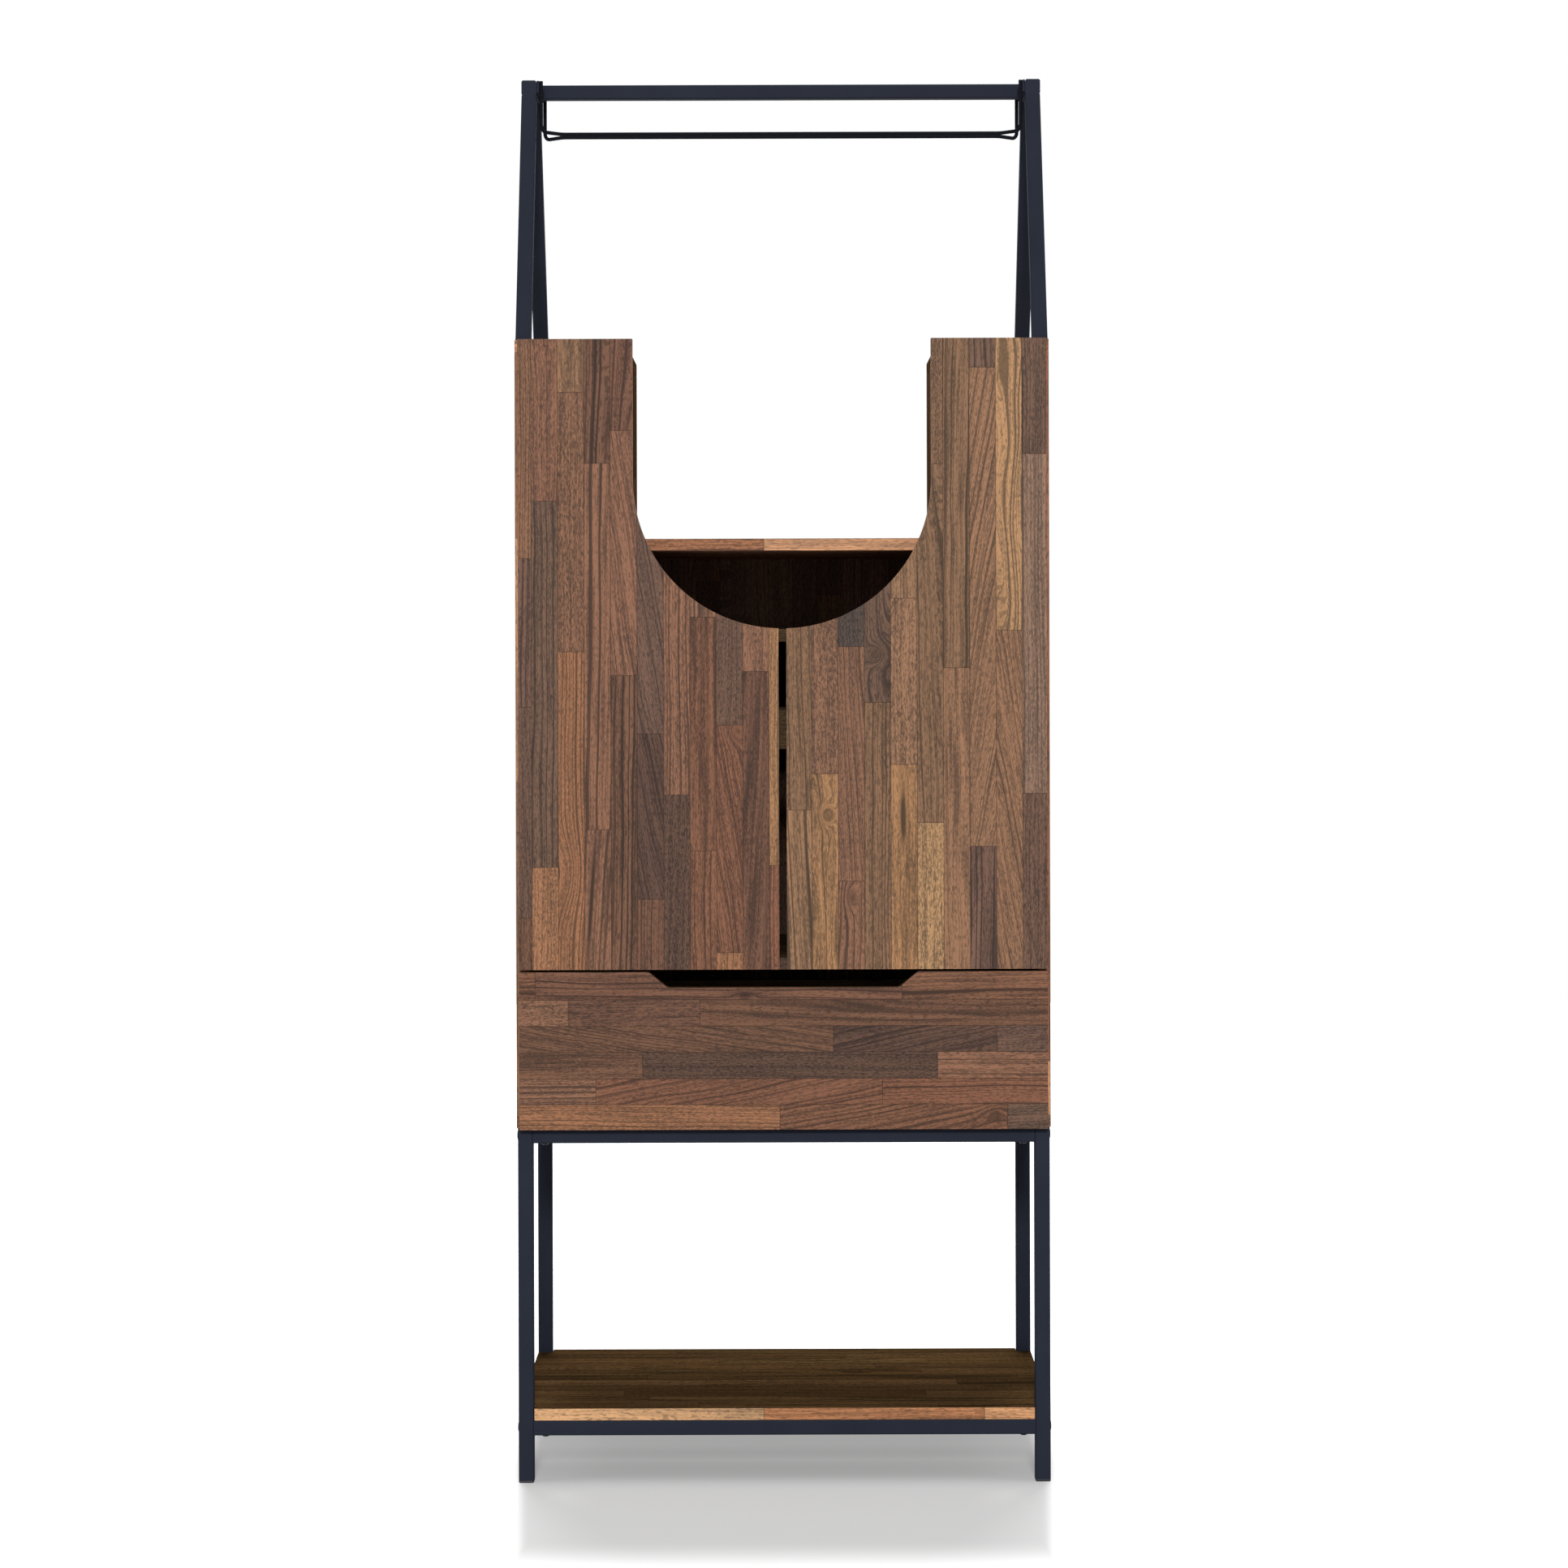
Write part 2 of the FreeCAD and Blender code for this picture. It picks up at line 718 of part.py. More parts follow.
def top_rail():
    y = (rail_y - top_rail_tube / 2, rail_y + top_rail_tube / 2)
    z = (rail_z - top_rail_tube / 2, rail_z + top_rail_tube / 2)
    rail = steel_tube((-plate_inner, plate_inner), y, z, along_x, end_plate)
    thread_ends = (Vec(-half_width, rail_y, rail_z), Vec(half_width, rail_y, rail_z))
    return rail.cut(peg(*thread_ends, bolt_radius + pin_gap))


def rack_plate():
    reach = hanger_spacing / 2 + rack_rod_radius + rack_plate_margin / 2
    plate = box((plate_inner, leg_inner), (rail_y - reach, rail_y + reach),
                (gallery_top - rack_plate_height, gallery_top))
    return plate.cut(bolt_hole(rail_y, rail_z, plate_inner))


def bent_path(points, radii):
    """Wire of straight runs joined by tangent arcs of the given radii."""
    edges = []
    start = points[0]
    for before, corner, after, radius in zip(points, points[1:], points[2:], radii):
        back = (before - corner).normalize()
        ahead = (after - corner).normalize()
        bisector = (back + ahead).normalize()
        half_angle = back.getAngle(ahead) / 2
        reach = radius / tan(half_angle)
        centre = corner + bisector * (reach / cos(half_angle))
        bend_start = corner + back * reach
        bend_end = corner + ahead * reach
        edges.append(Part.LineSegment(start, bend_start).toShape())
        edges.append(Part.Arc(bend_start, centre - bisector * radius, bend_end).toShape())
        start = bend_end
    edges.append(Part.LineSegment(start, points[-1]).toShape())
    return Part.Wire(edges)


def rack_rod(side):
    """Bent rod: a hanger at each end, and a long run that closes in on the stem slot."""
    hanger_x = plate_inner - rack_rod_radius
    run_x = hanger_x - rack_flare
    hanger_y = rail_y + side * hanger_spacing / 2
    run_y = rail_y + side * stem_spacing / 2
    z = gallery_top - rack_drop
    points = [Vec(-hanger_x, hanger_y, gallery_top), Vec(-hanger_x, hanger_y, z), Vec(-run_x, run_y, z),
              Vec(run_x, run_y, z), Vec(hanger_x, hanger_y, z), Vec(hanger_x, hanger_y, gallery_top)]
    path = bent_path(points, (hanger_bend, flare_bend, flare_bend, hanger_bend))
    straight = bar(points[0], points[1], rack_rod_radius)
    section = max(straight.Faces, key=lambda face: face.CenterOfMass.z).OuterWire
    return path.makePipeShell([section], True, False)


# Every piece under its own name

left_door, right_door = both_sides(door())
front_left_leg, front_right_leg = both_sides(leg(front_tube))
rear_left_leg, rear_right_leg = both_sides(leg(rear_tube))
left_panel, right_panel = both_sides(side_panel())
left_wall, right_wall = both_sides(tower_wall())
left_roof, right_roof = both_sides(top_board())
left_frame, right_frame = both_sides(a_frame())
left_strike, right_strike = both_sides(strike_plate())
left_drawer_side, right_drawer_side = both_sides(drawer_side())
rail_places = [(y, z) for y in (front_tube, rear_tube) for z in (top_rail_span, shelf_rail_span)]


nodes = {
    "front_left_leg": [front_left_leg],
    "front_right_leg": [front_right_leg],
    "rear_left_leg": [rear_left_leg],
    "rear_right_leg": [rear_right_leg],
    "left_side_rails": left_of(side_rails()),
    "right_side_rails": side_rails(),
    "front_top_rail": [cross_rail(front_tube, top_rail_span)],
    "rear_top_rail": [cross_rail(rear_tube, top_rail_span)],
    "front_shelf_rail": [cross_rail(front_tube, shelf_rail_span)],
    "rear_shelf_rail": [cross_rail(rear_tube, shelf_rail_span)],
    "lower_shelf": [lower_shelf()],
    "foot_caps": on_both_sides([foot_cap(front_tube), foot_cap(rear_tube)]),
    "frame_bolts": on_both_sides([frame_bolt(*place, leg_inner) for place in frame_joints]),
    "rail_screws": [screw for place in rail_places for screw in rail_screws(*place)],
    "bottom_board": [bottom_board()],
    "left_side_panel": [left_panel],
    "right_side_panel": [right_panel],
    "drawer_deck": [locked_board(deck_low)],
    "middle_shelf": [locked_board(middle_low)],
    "niche_shelf": [locked_board(niche_low)],
    "left_tower_wall": [left_wall],
    "right_tower_wall": [right_wall],
    "left_top_board": [left_roof],
    "right_top_board": [right_roof],
    "back_panel": [back_panel()],
    "tower_backs": both_sides(tower_back()),
    "front_bottle_rail": [bottle_rail(front, neck_scallop, neck_scallop)],
    "rear_bottle_rail": [bottle_rail(front + rear_rail_setback, body_scallop, body_scallop_depth)],
    "cam_locks": cam_locks(),
    "cam_dowels": cam_dowels(),
    "left_door": [left_door],
    "right_door": [right_door],
    "left_hinge_cups": left_of(hinge_row(hinge_cup)),
    "right_hinge_cups": hinge_row(hinge_cup),
    "left_hinge_pins": left_of(hinge_row(hinge_pin)),
    "right_hinge_pins": hinge_row(hinge_pin),
    "hinge_arms": on_both_sides(hinge_row(hinge_arm)),
    "hinge_plates": on_both_sides(hinge_row(hinge_plate)),
    "magnet_catches": both_sides(magnet_catch()),
    "left_strike_plate": [left_strike],
    "right_strike_plate": [right_strike],
    "stop_pads": stop_pads(),
    "drawer_front": [drawer_front()],
    "drawer_left_side": [left_drawer_side],
    "drawer_right_side": [right_drawer_side],
    "drawer_back": [drawer_back()],
    "drawer_bottom": [drawer_bottom()],
    "cabinet_runners": both_sides(cabinet_runner()),
    "drawer_runners": both_sides(drawer_runner()),
    "cabinet_rollers": both_sides(roller(cabinet_roller_y, cabinet_roller_z)),
    "drawer_rollers": both_sides(roller(drawer_roller_y, drawer_roller_z)),
    "left_a_frame": [left_frame],
    "right_a_frame": [right_frame],
    "foot_bar_screws": on_both_sides([foot_screw(y) for y in foot_screw_rows]),
    "top_rail": [top_rail()],
    "top_rail_bolts": both_sides(frame_bolt(rail_y, rail_z, plate_inner)),
    "rack_plates": both_sides(rack_plate()),
    "front_rack_rod": [rack_rod(-1)],
    "rear_rack_rod": [rack_rod(1)],
}

os.makedirs("parts", exist_ok=True)
for name, solids in nodes.items():
    shape = solids[0] if len(solids) == 1 else Part.makeCompound(solids)
    shape.exportStep("parts/" + name + ".step")
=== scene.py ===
# %% [markdown]
# # A wine cabinet on a steel frame
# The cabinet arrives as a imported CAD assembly: every board, tube, hinge and screw is a separate solid at
# its real place, in metres. This script dresses those solids for a picture. It cuts the boards into
# staves of different wood, rounds the edges that a factory rounds, adds the screws and the turned parts,
# and sets up the light and the camera of a catalogue picture.

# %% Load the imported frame
import math
import random
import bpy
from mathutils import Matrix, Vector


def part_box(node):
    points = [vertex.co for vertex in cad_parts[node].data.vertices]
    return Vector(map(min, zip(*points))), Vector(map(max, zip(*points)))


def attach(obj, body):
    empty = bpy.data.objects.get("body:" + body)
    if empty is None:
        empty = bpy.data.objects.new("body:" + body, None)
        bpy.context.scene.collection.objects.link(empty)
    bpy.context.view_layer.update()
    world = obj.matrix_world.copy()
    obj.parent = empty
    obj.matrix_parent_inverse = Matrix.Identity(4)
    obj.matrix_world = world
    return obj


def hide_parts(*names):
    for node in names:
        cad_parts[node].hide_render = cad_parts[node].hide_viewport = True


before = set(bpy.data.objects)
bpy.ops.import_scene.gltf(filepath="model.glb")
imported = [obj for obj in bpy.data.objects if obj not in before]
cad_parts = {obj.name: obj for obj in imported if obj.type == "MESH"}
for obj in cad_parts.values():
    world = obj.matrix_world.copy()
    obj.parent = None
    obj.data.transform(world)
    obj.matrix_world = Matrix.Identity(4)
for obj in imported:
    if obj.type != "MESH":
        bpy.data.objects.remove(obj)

from types import SimpleNamespace

import bmesh
import bpy
from mathutils import Matrix, Vector

MM = 0.001
X, Y, Z = 0, 1, 2
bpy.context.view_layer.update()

# %% [markdown]
# ## Colours and nodes
# Colours are noted as sRGB hex codes, as they are read off a picture, and Blender mixes linear light, so
# one function turns one into the other. Materials are built from nodes in code: one small function adds
# any node, sets its properties and fills its inputs, in order or by name, with values or with other
# nodes.

# %% Colour and node helpers
def linear(code):
    """Linear light, with an alpha of 1, of an sRGB hex code."""
    channels = [int(code[i:i + 2], 16) / 255 for i in (1, 3, 5)]
    return [c / 12.92 if c <= 0.04045 else ((c + 0.055) / 1.055) ** 2.4 for c in channels] + [1.0]


def add(tree, kind, inputs=(), **settings):
    """A new node. Its inputs are given in order or by name, and None leaves one as it is."""
    node = tree.nodes.new(kind)
    for name, value in settings.items():
        setattr(node, name, value)
    if isinstance(inputs, dict):
        pairs = [(node.inputs[name], value) for name, value in inputs.items()]
    else:
        pairs = list(zip([socket for socket in node.inputs if socket.enabled], inputs))
    for socket, value in pairs:
        if isinstance(value, bpy.types.Node):
            value = next(out for out in value.outputs if out.enabled)
        if isinstance(value, bpy.types.NodeSocket):
            tree.links.new(value, socket)
        elif value is not None:
            socket.default_value = value
    return node


def new_material(name):
    """An empty material and its node tree."""
    material = bpy.data.materials.new(name)
    material.use_nodes = True
    material.node_tree.nodes.clear()
    return material, material.node_tree


print("pale oak as linear light:", [round(c, 3) for c in linear("#c49970")])

# %% [markdown]
# ## Camera
# The catalogue picture is taken from straight ahead with a long lens: all uprights are parallel and only
# the top of the lower shelf shows that the eye is about a metre above the floor. A shifted lens keeps the
# uprights parallel while the frame takes in the feet. The picture leans by a sixth of a degree.

# %% Camera
EYE = (0.0, -4.6105, 1.078)
LEAN = 0.17
camera_data = bpy.data.cameras.new("camera")
camera_data.lens = 77.62
camera_data.sensor_width = 36.0
camera_data.shift_x = 0.001
camera_data.shift_y = -0.0792
camera = bpy.data.objects.new("camera", camera_data)
camera.location = EYE
camera.rotation_euler = (math.radians(90), math.radians(LEAN), 0.0)
bpy.context.scene.collection.objects.link(camera)
bpy.context.scene.camera = camera
bpy.context.scene.view_settings.view_transform = "Standard"
print("camera", -EYE[Y], "m in front, lens", round(camera_data.lens, 2), "mm")

# %% [markdown]
# ## Studio light, floor and background
# The key light is a soft box far off in front, so that it lights head and foot alike, and high enough
# that the niche shelf keeps the light out of the compartment behind the arch. A large soft box above and
# behind throws the shadow that lies on the floor in front of the feet, and two weak ones light the sides.
# The floor paper adds painted shadow: the straight sides of that shadow and a darker foot shadow under the
# shelf.
# The white of the background is only what the camera and the reflections see; on the surfaces themselves
# the world gives a low even light.

# %% Lamps
def soft_box(name, place, aim, size, power):
    """A round lamp at a place, turned to what it lights. Sizes are in metres, the power in watts."""
    lamp = bpy.data.lights.new(name, "AREA")
    lamp.shape = "DISK"
    lamp.size = size
    lamp.energy = power
    box = bpy.data.objects.new(name, lamp)
    box.location = place
    box.rotation_euler = (Vector(aim) - Vector(place)).to_track_quat("-Z", "Y").to_euler()
    bpy.context.scene.collection.objects.link(box)
    return box


lamps = [
    soft_box("key_box", (0.0, -14.2, 5.95), (0, -0.2, 0.9), 2.4, 1330),
    soft_box("overhead_box", (0.0, 4.3, 9.0), (0, -0.2, 0.0), 5.0, 900),
    soft_box("left_box", (-3.4, -0.7, 2.0), (0, 0, 0.9), 2.0, 15),
    soft_box("right_box", (3.4, -0.7, 2.0), (0, 0, 0.9), 2.0, 15),
]
print("lamps:", [(lamp.name, lamp.data.energy) for lamp in lamps])

# %% World
def seen_directly(tree):
    """1 for the rays that make the picture: from the camera, off a gloss or through something clear."""
    ray = add(tree, "ShaderNodeLightPath").outputs
    seen = add(tree, "ShaderNodeMath", [ray["Is Camera Ray"], ray["Is Glossy Ray"]], operation="MAXIMUM")
    return add(tree, "ShaderNodeMath", [seen, ray["Is Transmission Ray"]], operation="MAXIMUM")


EVEN_LIGHT = 0.2
world = bpy.data.worlds.new("studio")
world.use_nodes = True
sky = world.node_tree
sky.nodes.clear()
level = add(sky, "ShaderNodeMapRange", {"Value": seen_directly(sky), "To Min": EVEN_LIGHT, "To Max": 1.0})
white = add(sky, "ShaderNodeBackground", {"Color": (1, 1, 1, 1), "Strength": level})
add(sky, "ShaderNodeOutputWorld", [white])
bpy.context.scene.world = world
print("even light of the world:", EVEN_LIGHT)

# %% Paper of the floor
# Diffuse paper that catches the shadow. What the camera sees of it also glows: a little inside a painted
# shadow area round the cabinet, with straight sides that narrow towards the camera, and least in a painted
# foot shadow under the shelf. Beside, before and behind the cabinet it runs into the white background,
# which washes out the real shadows there.
# The first is the glow inside the painted shadow area, the second the painted foot shadow under the shelf.
GLOW = 0.365
PAINTED_FOOT_SHADOW = -0.14
NARROWING = 0.217  # of the shadow, for each metre towards the camera
paper, tree = new_material("white_paper_floor")
place = add(tree, "ShaderNodeTexCoord").outputs["Object"]
east, north, _ = add(tree, "ShaderNodeSeparateXYZ", [place]).outputs
narrower = add(tree, "ShaderNodeMath", [north, NARROWING, 1.0], operation="MULTIPLY_ADD")
aside = add(tree, "ShaderNodeMath", [east], operation="ABSOLUTE")
aside = add(tree, "ShaderNodeMath", [aside, narrower], operation="DIVIDE")
# Each fade rises from 0 to 1 between two distances from the middle, in metres.
FADES = [("beside", aside, 0.349, 0.386), ("before", north, -0.47, -0.68), ("behind", north, 0.15, 0.45),
         ("painted_foot_shadow_front", north, -0.225, -0.13), ("painted_foot_shadow_rear", north, 0.04, -0.10)]
fade = {name: add(tree, "ShaderNodeMapRange", {"Value": way, "From Min": start, "From Max": end},
                  interpolation_type="SMOOTHSTEP")
        for name, way, start, end in FADES}
far = add(tree, "ShaderNodeMath", [fade["beside"], fade["before"]], operation="MAXIMUM")
far = add(tree, "ShaderNodeMath", [far, fade["behind"]], operation="MAXIMUM")
# A painted foot shadow: less glow in a band under the lower shelf.
foot = add(tree, "ShaderNodeMath", [fade["painted_foot_shadow_front"], fade["painted_foot_shadow_rear"]], operation="MULTIPLY")
glow = add(tree, "ShaderNodeMath", [foot, PAINTED_FOOT_SHADOW, GLOW], operation="MULTIPLY_ADD")
glow = add(tree, "ShaderNodeMapRange", {"Value": far, "To Min": glow, "To Max": 1.0})
glow = add(tree, "ShaderNodeMath", [glow, seen_directly(tree)], operation="MULTIPLY")
shine = add(tree, "ShaderNodeEmission", {"Color": (1, 1, 1, 1), "Strength": glow})
matt = add(tree, "ShaderNodeBsdfDiffuse", {"Color": linear("#bebebe")})
add(tree, "ShaderNodeOutputMaterial", [add(tree, "ShaderNodeAddShader", [matt, shine])])
print(paper.name, "glows with", GLOW)

# %% Floor
HALF_FLOOR = 6.0
grid = bmesh.new()
bmesh.ops.create_grid(grid, x_segments=8, y_segments=8, size=HALF_FLOOR)
floor_mesh = bpy.data.meshes.new("floor")
grid.to_mesh(floor_mesh)
grid.free()
floor_mesh.materials.append(paper)
floor = bpy.data.objects.new("floor", floor_mesh)
bpy.context.scene.collection.objects.link(floor)
print("floor", 2 * HALF_FLOOR, "m wide")

# %% [markdown]
# ## Stave wood
# The boards look like walnut block board: strips about 34 mm wide, glued side by side, each with its own
# tone and figure, under a thin lacquer. A picture of wood can't be used, so the figure is worked out as
# in a tree: every stave remembers where the middle of its log was, the distance from that middle gives
# the growth rings, and rings cut along the log come out as straight lines, slanted lines or arches by
# themselves. A branch pushes the rings aside and leaves an eye. What differs from stave to stave comes
# from values on the faces of the mesh: tone, log middle, strength of the figure, place of a knot and the
# outline for the glue line.

# %% What a stave carries
# Each vector on the faces carries three values: two corners, the middle of the log, the figure and a knot.
STAVE_VECTORS = {
    "stave_low": ("low_side", "low_end", "seed"),
    "stave_high": ("high_side", "high_end", "spacing"),
    "stave_log": ("core", "deep", "tilt"),
    "stave_look": ("lines_share", "fleck_share", "slant"),
    "stave_knot": ("knot_across", "knot_along", "knot_push"),
    "stave_eye": ("knot_width", "knot_length", "knot_dark"),
    "stave_wave": ("wander", "bands_share", "shift"),
}


def stave_inputs(tree):
    """Sockets, by name, for the place on the board in mm and for all that the faces carry."""
    grain = add(tree, "ShaderNodeUVMap", uv_map="grain")
    sockets = dict(zip(("across", "along"), add(tree, "ShaderNodeSeparateXYZ", [grain]).outputs))
    for vector, names in STAVE_VECTORS.items():
        carried = add(tree, "ShaderNodeAttribute", attribute_name=vector).outputs["Vector"]
        sockets.update(zip(names, add(tree, "ShaderNodeSeparateXYZ", [carried]).outputs))
    sockets["tone"] = add(tree, "ShaderNodeAttribute", attribute_name="stave_tone").outputs["Color"]
    return SimpleNamespace(**sockets)


print("a stave carries", sum(map(len, STAVE_VECTORS.values())), "values and a tone")

# %% Growth of the tree
DRIFT = (40, 200)  # width and length of the wander along the grain, in mm


def grain_noise(tree, place, wide, long, detail, low=-0.5, high=0.5):
    """Noise in spots so wide and so long along the grain, in mm, from low to high."""
    scaled = add(tree, "ShaderNodeVectorMath", [place, (1 / wide, 1 / long, 1.0)], operation="MULTIPLY")
    value = add(tree, "ShaderNodeTexNoise", {"Vector": scaled, "Scale": 1.0, "Detail": detail})
    return add(tree, "ShaderNodeMapRange", {"Value": value, "From Min": 0.3, "From Max": 0.7,
                                            "To Min": low, "To Max": high})


def branch_hump(tree, stave):
    """A smooth hump around a knot, which leans with the grain: lines bend round it or close to an eye."""
    ahead = add(tree, "ShaderNodeMath", [stave.along, stave.knot_along], operation="SUBTRACT")
    aside = add(tree, "ShaderNodeMath", [stave.across, stave.knot_across], operation="SUBTRACT")
    lean = add(tree, "ShaderNodeMath", [ahead, stave.slant], operation="MULTIPLY")
    aside = add(tree, "ShaderNodeMath", [aside, lean], operation="SUBTRACT")
    aside = add(tree, "ShaderNodeMath", [aside, stave.knot_width], operation="DIVIDE")
    ahead = add(tree, "ShaderNodeMath", [ahead, stave.knot_length], operation="DIVIDE")
    near = add(tree, "ShaderNodeMath", [ahead, ahead], operation="MULTIPLY")
    near = add(tree, "ShaderNodeMath", [aside, aside, near], operation="MULTIPLY_ADD")
    near = add(tree, "ShaderNodeMath", [near, -1.0], operation="MULTIPLY")
    return add(tree, "ShaderNodeMath", [near], operation="EXPONENT")


def log_radius(tree, stave, spot, branch):
    """Distance from the middle of the log, with the slow wander of a grown tree and the push of a branch."""
    core = add(tree, "ShaderNodeMath", [stave.along, stave.slant, stave.core], operation="MULTIPLY_ADD")
    side = add(tree, "ShaderNodeMath", [stave.across, core], operation="SUBTRACT")
    depth = add(tree, "ShaderNodeMath", [stave.along, stave.tilt, stave.deep], operation="MULTIPLY_ADD")
    arm = add(tree, "ShaderNodeCombineXYZ", [side, depth])
    radius = add(tree, "ShaderNodeVectorMath", [arm], operation="LENGTH").outputs["Value"]
    drift = grain_noise(tree, spot, *DRIFT, 1.0)
    for part, push in ((drift, stave.wander), (branch, stave.knot_push)):
        radius = add(tree, "ShaderNodeMath", [part, push, radius], operation="MULTIPLY_ADD")
    return radius


print("the rings wander over", DRIFT, "mm")

# %% Stave wood material
# What it gives the eye: staves of many browns, crisp dark ring lines, fine broken fibres, short pores
# with a slight relief, a thin dark glue line, and a soft sheen that is weaker on the open grain. Fibres,
# fleck and pores are finer in real wood, and are drawn 1 to 2 mm wide so that they show.
BANDS, FIBRES, FLECK, PORES = (9, 210), (1.5, 80), (1.5, 4.4), (1.3, 9)  # width and length in mm
# Each stave has a deep and a bright version of its tone, which the figure mixes, and one for dark lines.
DEEP, BRIGHT, LINE = (0.55, 0.57, 0.59), (1.52, 1.43, 1.30), (0.28, 0.31, 0.34)
FIBRE_SHARE, RING_SHARE, PORE_SHARE = 0.66, 2.2, 0.5
GLUE = "#2b1e18"
GLUE_FROM, GLUE_TO, GLUE_SHARE = 0.2, 0.8, 0.55  # mm from the side of the stave, and strength
PORE_RELIEF, GLUE_RELIEF = -0.6, -1.5
SEED_TURN, SEED_STEP = 31.0, 7.0  # spread the patterns of one stave, so that none repeats another


def stave_wood(name, gloss):
    """Wood that takes its tone and figure from the faces; gloss is the strength of the shine."""
    material, tree = new_material(name)
    stave = stave_inputs(tree)
    spot = add(tree, "ShaderNodeCombineXYZ", [stave.across, stave.along, stave.seed])
    branch = branch_hump(tree, stave)
    radius = log_radius(tree, stave, spot, branch)
    other_seed = add(tree, "ShaderNodeMath", [stave.seed, SEED_STEP], operation="ADD")
    figure = add(tree, "ShaderNodeCombineXYZ", [radius, stave.along, other_seed])

    # Ring lines lie where the summer wood is dense.
    count = add(tree, "ShaderNodeMath", [radius, stave.spacing], operation="DIVIDE")
    first = add(tree, "ShaderNodeMath", [stave.seed, SEED_TURN], operation="MULTIPLY")
    count = add(tree, "ShaderNodeMath", [count, first], operation="ADD")
    rings = add(tree, "ShaderNodeTexNoise", {"W": count, "Scale": 1.0, "Detail": 2.0, "Roughness": 0.6},
                noise_dimensions="1D")
    ring_lines = add(tree, "ShaderNodeMapRange", {"Value": rings, "From Min": 0.50, "From Max": 0.64},
                     interpolation_type="SMOOTHSTEP")
    bands = grain_noise(tree, figure, *BANDS, 2.0)
    fibres = grain_noise(tree, figure, *FIBRES, 2.0)
    fleck = grain_noise(tree, spot, *FLECK, 2.0)
    pores = grain_noise(tree, figure, *PORES, 0.0, low=0.0, high=1.0)
    pores = add(tree, "ShaderNodeMapRange", {"Value": pores, "From Min": 0.68, "From Max": 0.92},
                interpolation_type="SMOOTHSTEP")

    deep_tone, bright_tone, line_tone = [
        add(tree, "ShaderNodeVectorMath", [stave.tone, share], operation="MULTIPLY")
        for share in (DEEP, BRIGHT, LINE)]
    pale_rings = add(tree, "ShaderNodeMath", [0.5, rings], operation="SUBTRACT")
    pale_rings = add(tree, "ShaderNodeMath", [pale_rings, stave.lines_share], operation="MULTIPLY")
    level = stave.shift
    for part, share in ((bands, stave.bands_share), (fibres, FIBRE_SHARE), (fleck, stave.fleck_share),
                        (pale_rings, RING_SHARE)):
        level = add(tree, "ShaderNodeMath", [part, share, level], operation="MULTIPLY_ADD")
    wood = add(tree, "ShaderNodeMix", [level, deep_tone, bright_tone], data_type="RGBA")
    drawn = add(tree, "ShaderNodeMath", [ring_lines, stave.lines_share], operation="MULTIPLY")
    for part, share in ((pores, PORE_SHARE), (branch, stave.knot_dark)):
        dark = add(tree, "ShaderNodeMath", [part, share], operation="MULTIPLY")
        drawn = add(tree, "ShaderNodeMath", [drawn, dark], operation="MAXIMUM")
    wood = add(tree, "ShaderNodeMix", [drawn, wood, line_tone], data_type="RGBA")

    # The glue line runs along the nearest side of the stave.
    inside, *others = [add(tree, "ShaderNodeMath", pair, operation="SUBTRACT") for pair in (
        (stave.across, stave.low_side), (stave.high_side, stave.across),
        (stave.along, stave.low_end), (stave.high_end, stave.along))]
    for other in others:
        inside = add(tree, "ShaderNodeMath", [inside, other], operation="MINIMUM")
    glue = add(tree, "ShaderNodeMapRange", {"Value": inside, "From Min": GLUE_FROM, "From Max": GLUE_TO,
                                            "To Min": GLUE_SHARE, "To Max": 0.0})
    wood = add(tree, "ShaderNodeMix", [glue, wood, linear(GLUE)], data_type="RGBA")

    relief = fleck
    for part, depth in ((pores, PORE_RELIEF), (glue, GLUE_RELIEF)):
        relief = add(tree, "ShaderNodeMath", [part, depth, relief], operation="MULTIPLY_ADD")
    relief = add(tree, "ShaderNodeBump", {"Height": relief, "Strength": 0.25, "Distance": 0.15 * MM})
    sheen = add(tree, "ShaderNodeMapRange", {"Value": fibres, "From Min": -0.5, "From Max": 0.5,
                                             "To Min": 0.5, "To Max": 0.64})
    lacquer = add(tree, "ShaderNodeBsdfPrincipled", {"Base Color": wood, "Roughness": sheen,
                                                     "Normal": relief, "Specular IOR Level": gloss})
    add(tree, "ShaderNodeOutputMaterial", [lacquer])
    return material


lacquered = stave_wood("lacquered_walnut_staves", gloss=0.1)
oiled = stave_wood("oiled_walnut_staves", gloss=0.0)
print(lacquered.name, "has", len(lacquered.node_tree.nodes), "nodes")

# %% [markdown]
# ## Kinds of wood
# The staves were sorted into about twenty tones, from pale sapwood to nearly black heartwood, and ten
# figures. A stave is named by both, such as umber lined. Two staves of one kind still differ a little, as
# two pieces of one log do.

# %% Tones and figures
# The smoked, burnt and ebony tones serve only as painted shade: on the lower shelf, the deck, the bottle rail
# and the edges in the gaps of the doors.
TONES = {
    "brown": "#815f4d", "russet": "#785544", "umber": "#6c4f41", "greyish": "#685146", "dark": "#5a453c",
    "black": "#504541", "honey": "#93694f", "golden": "#9a7455", "wheat": "#a38061", "tawny": "#896953",
    "drab": "#7c604c", "mauve": "#846a5b", "sapwood": "#d3a980", "maple": "#bd9070", "alder": "#c89972",
    "cherry": "#92654c", "pear": "#b37e5c", "smoked": "#503d28", "olive": "#5c472f", "burnt": "#473622",
    "ebony": "#3f301e",
}
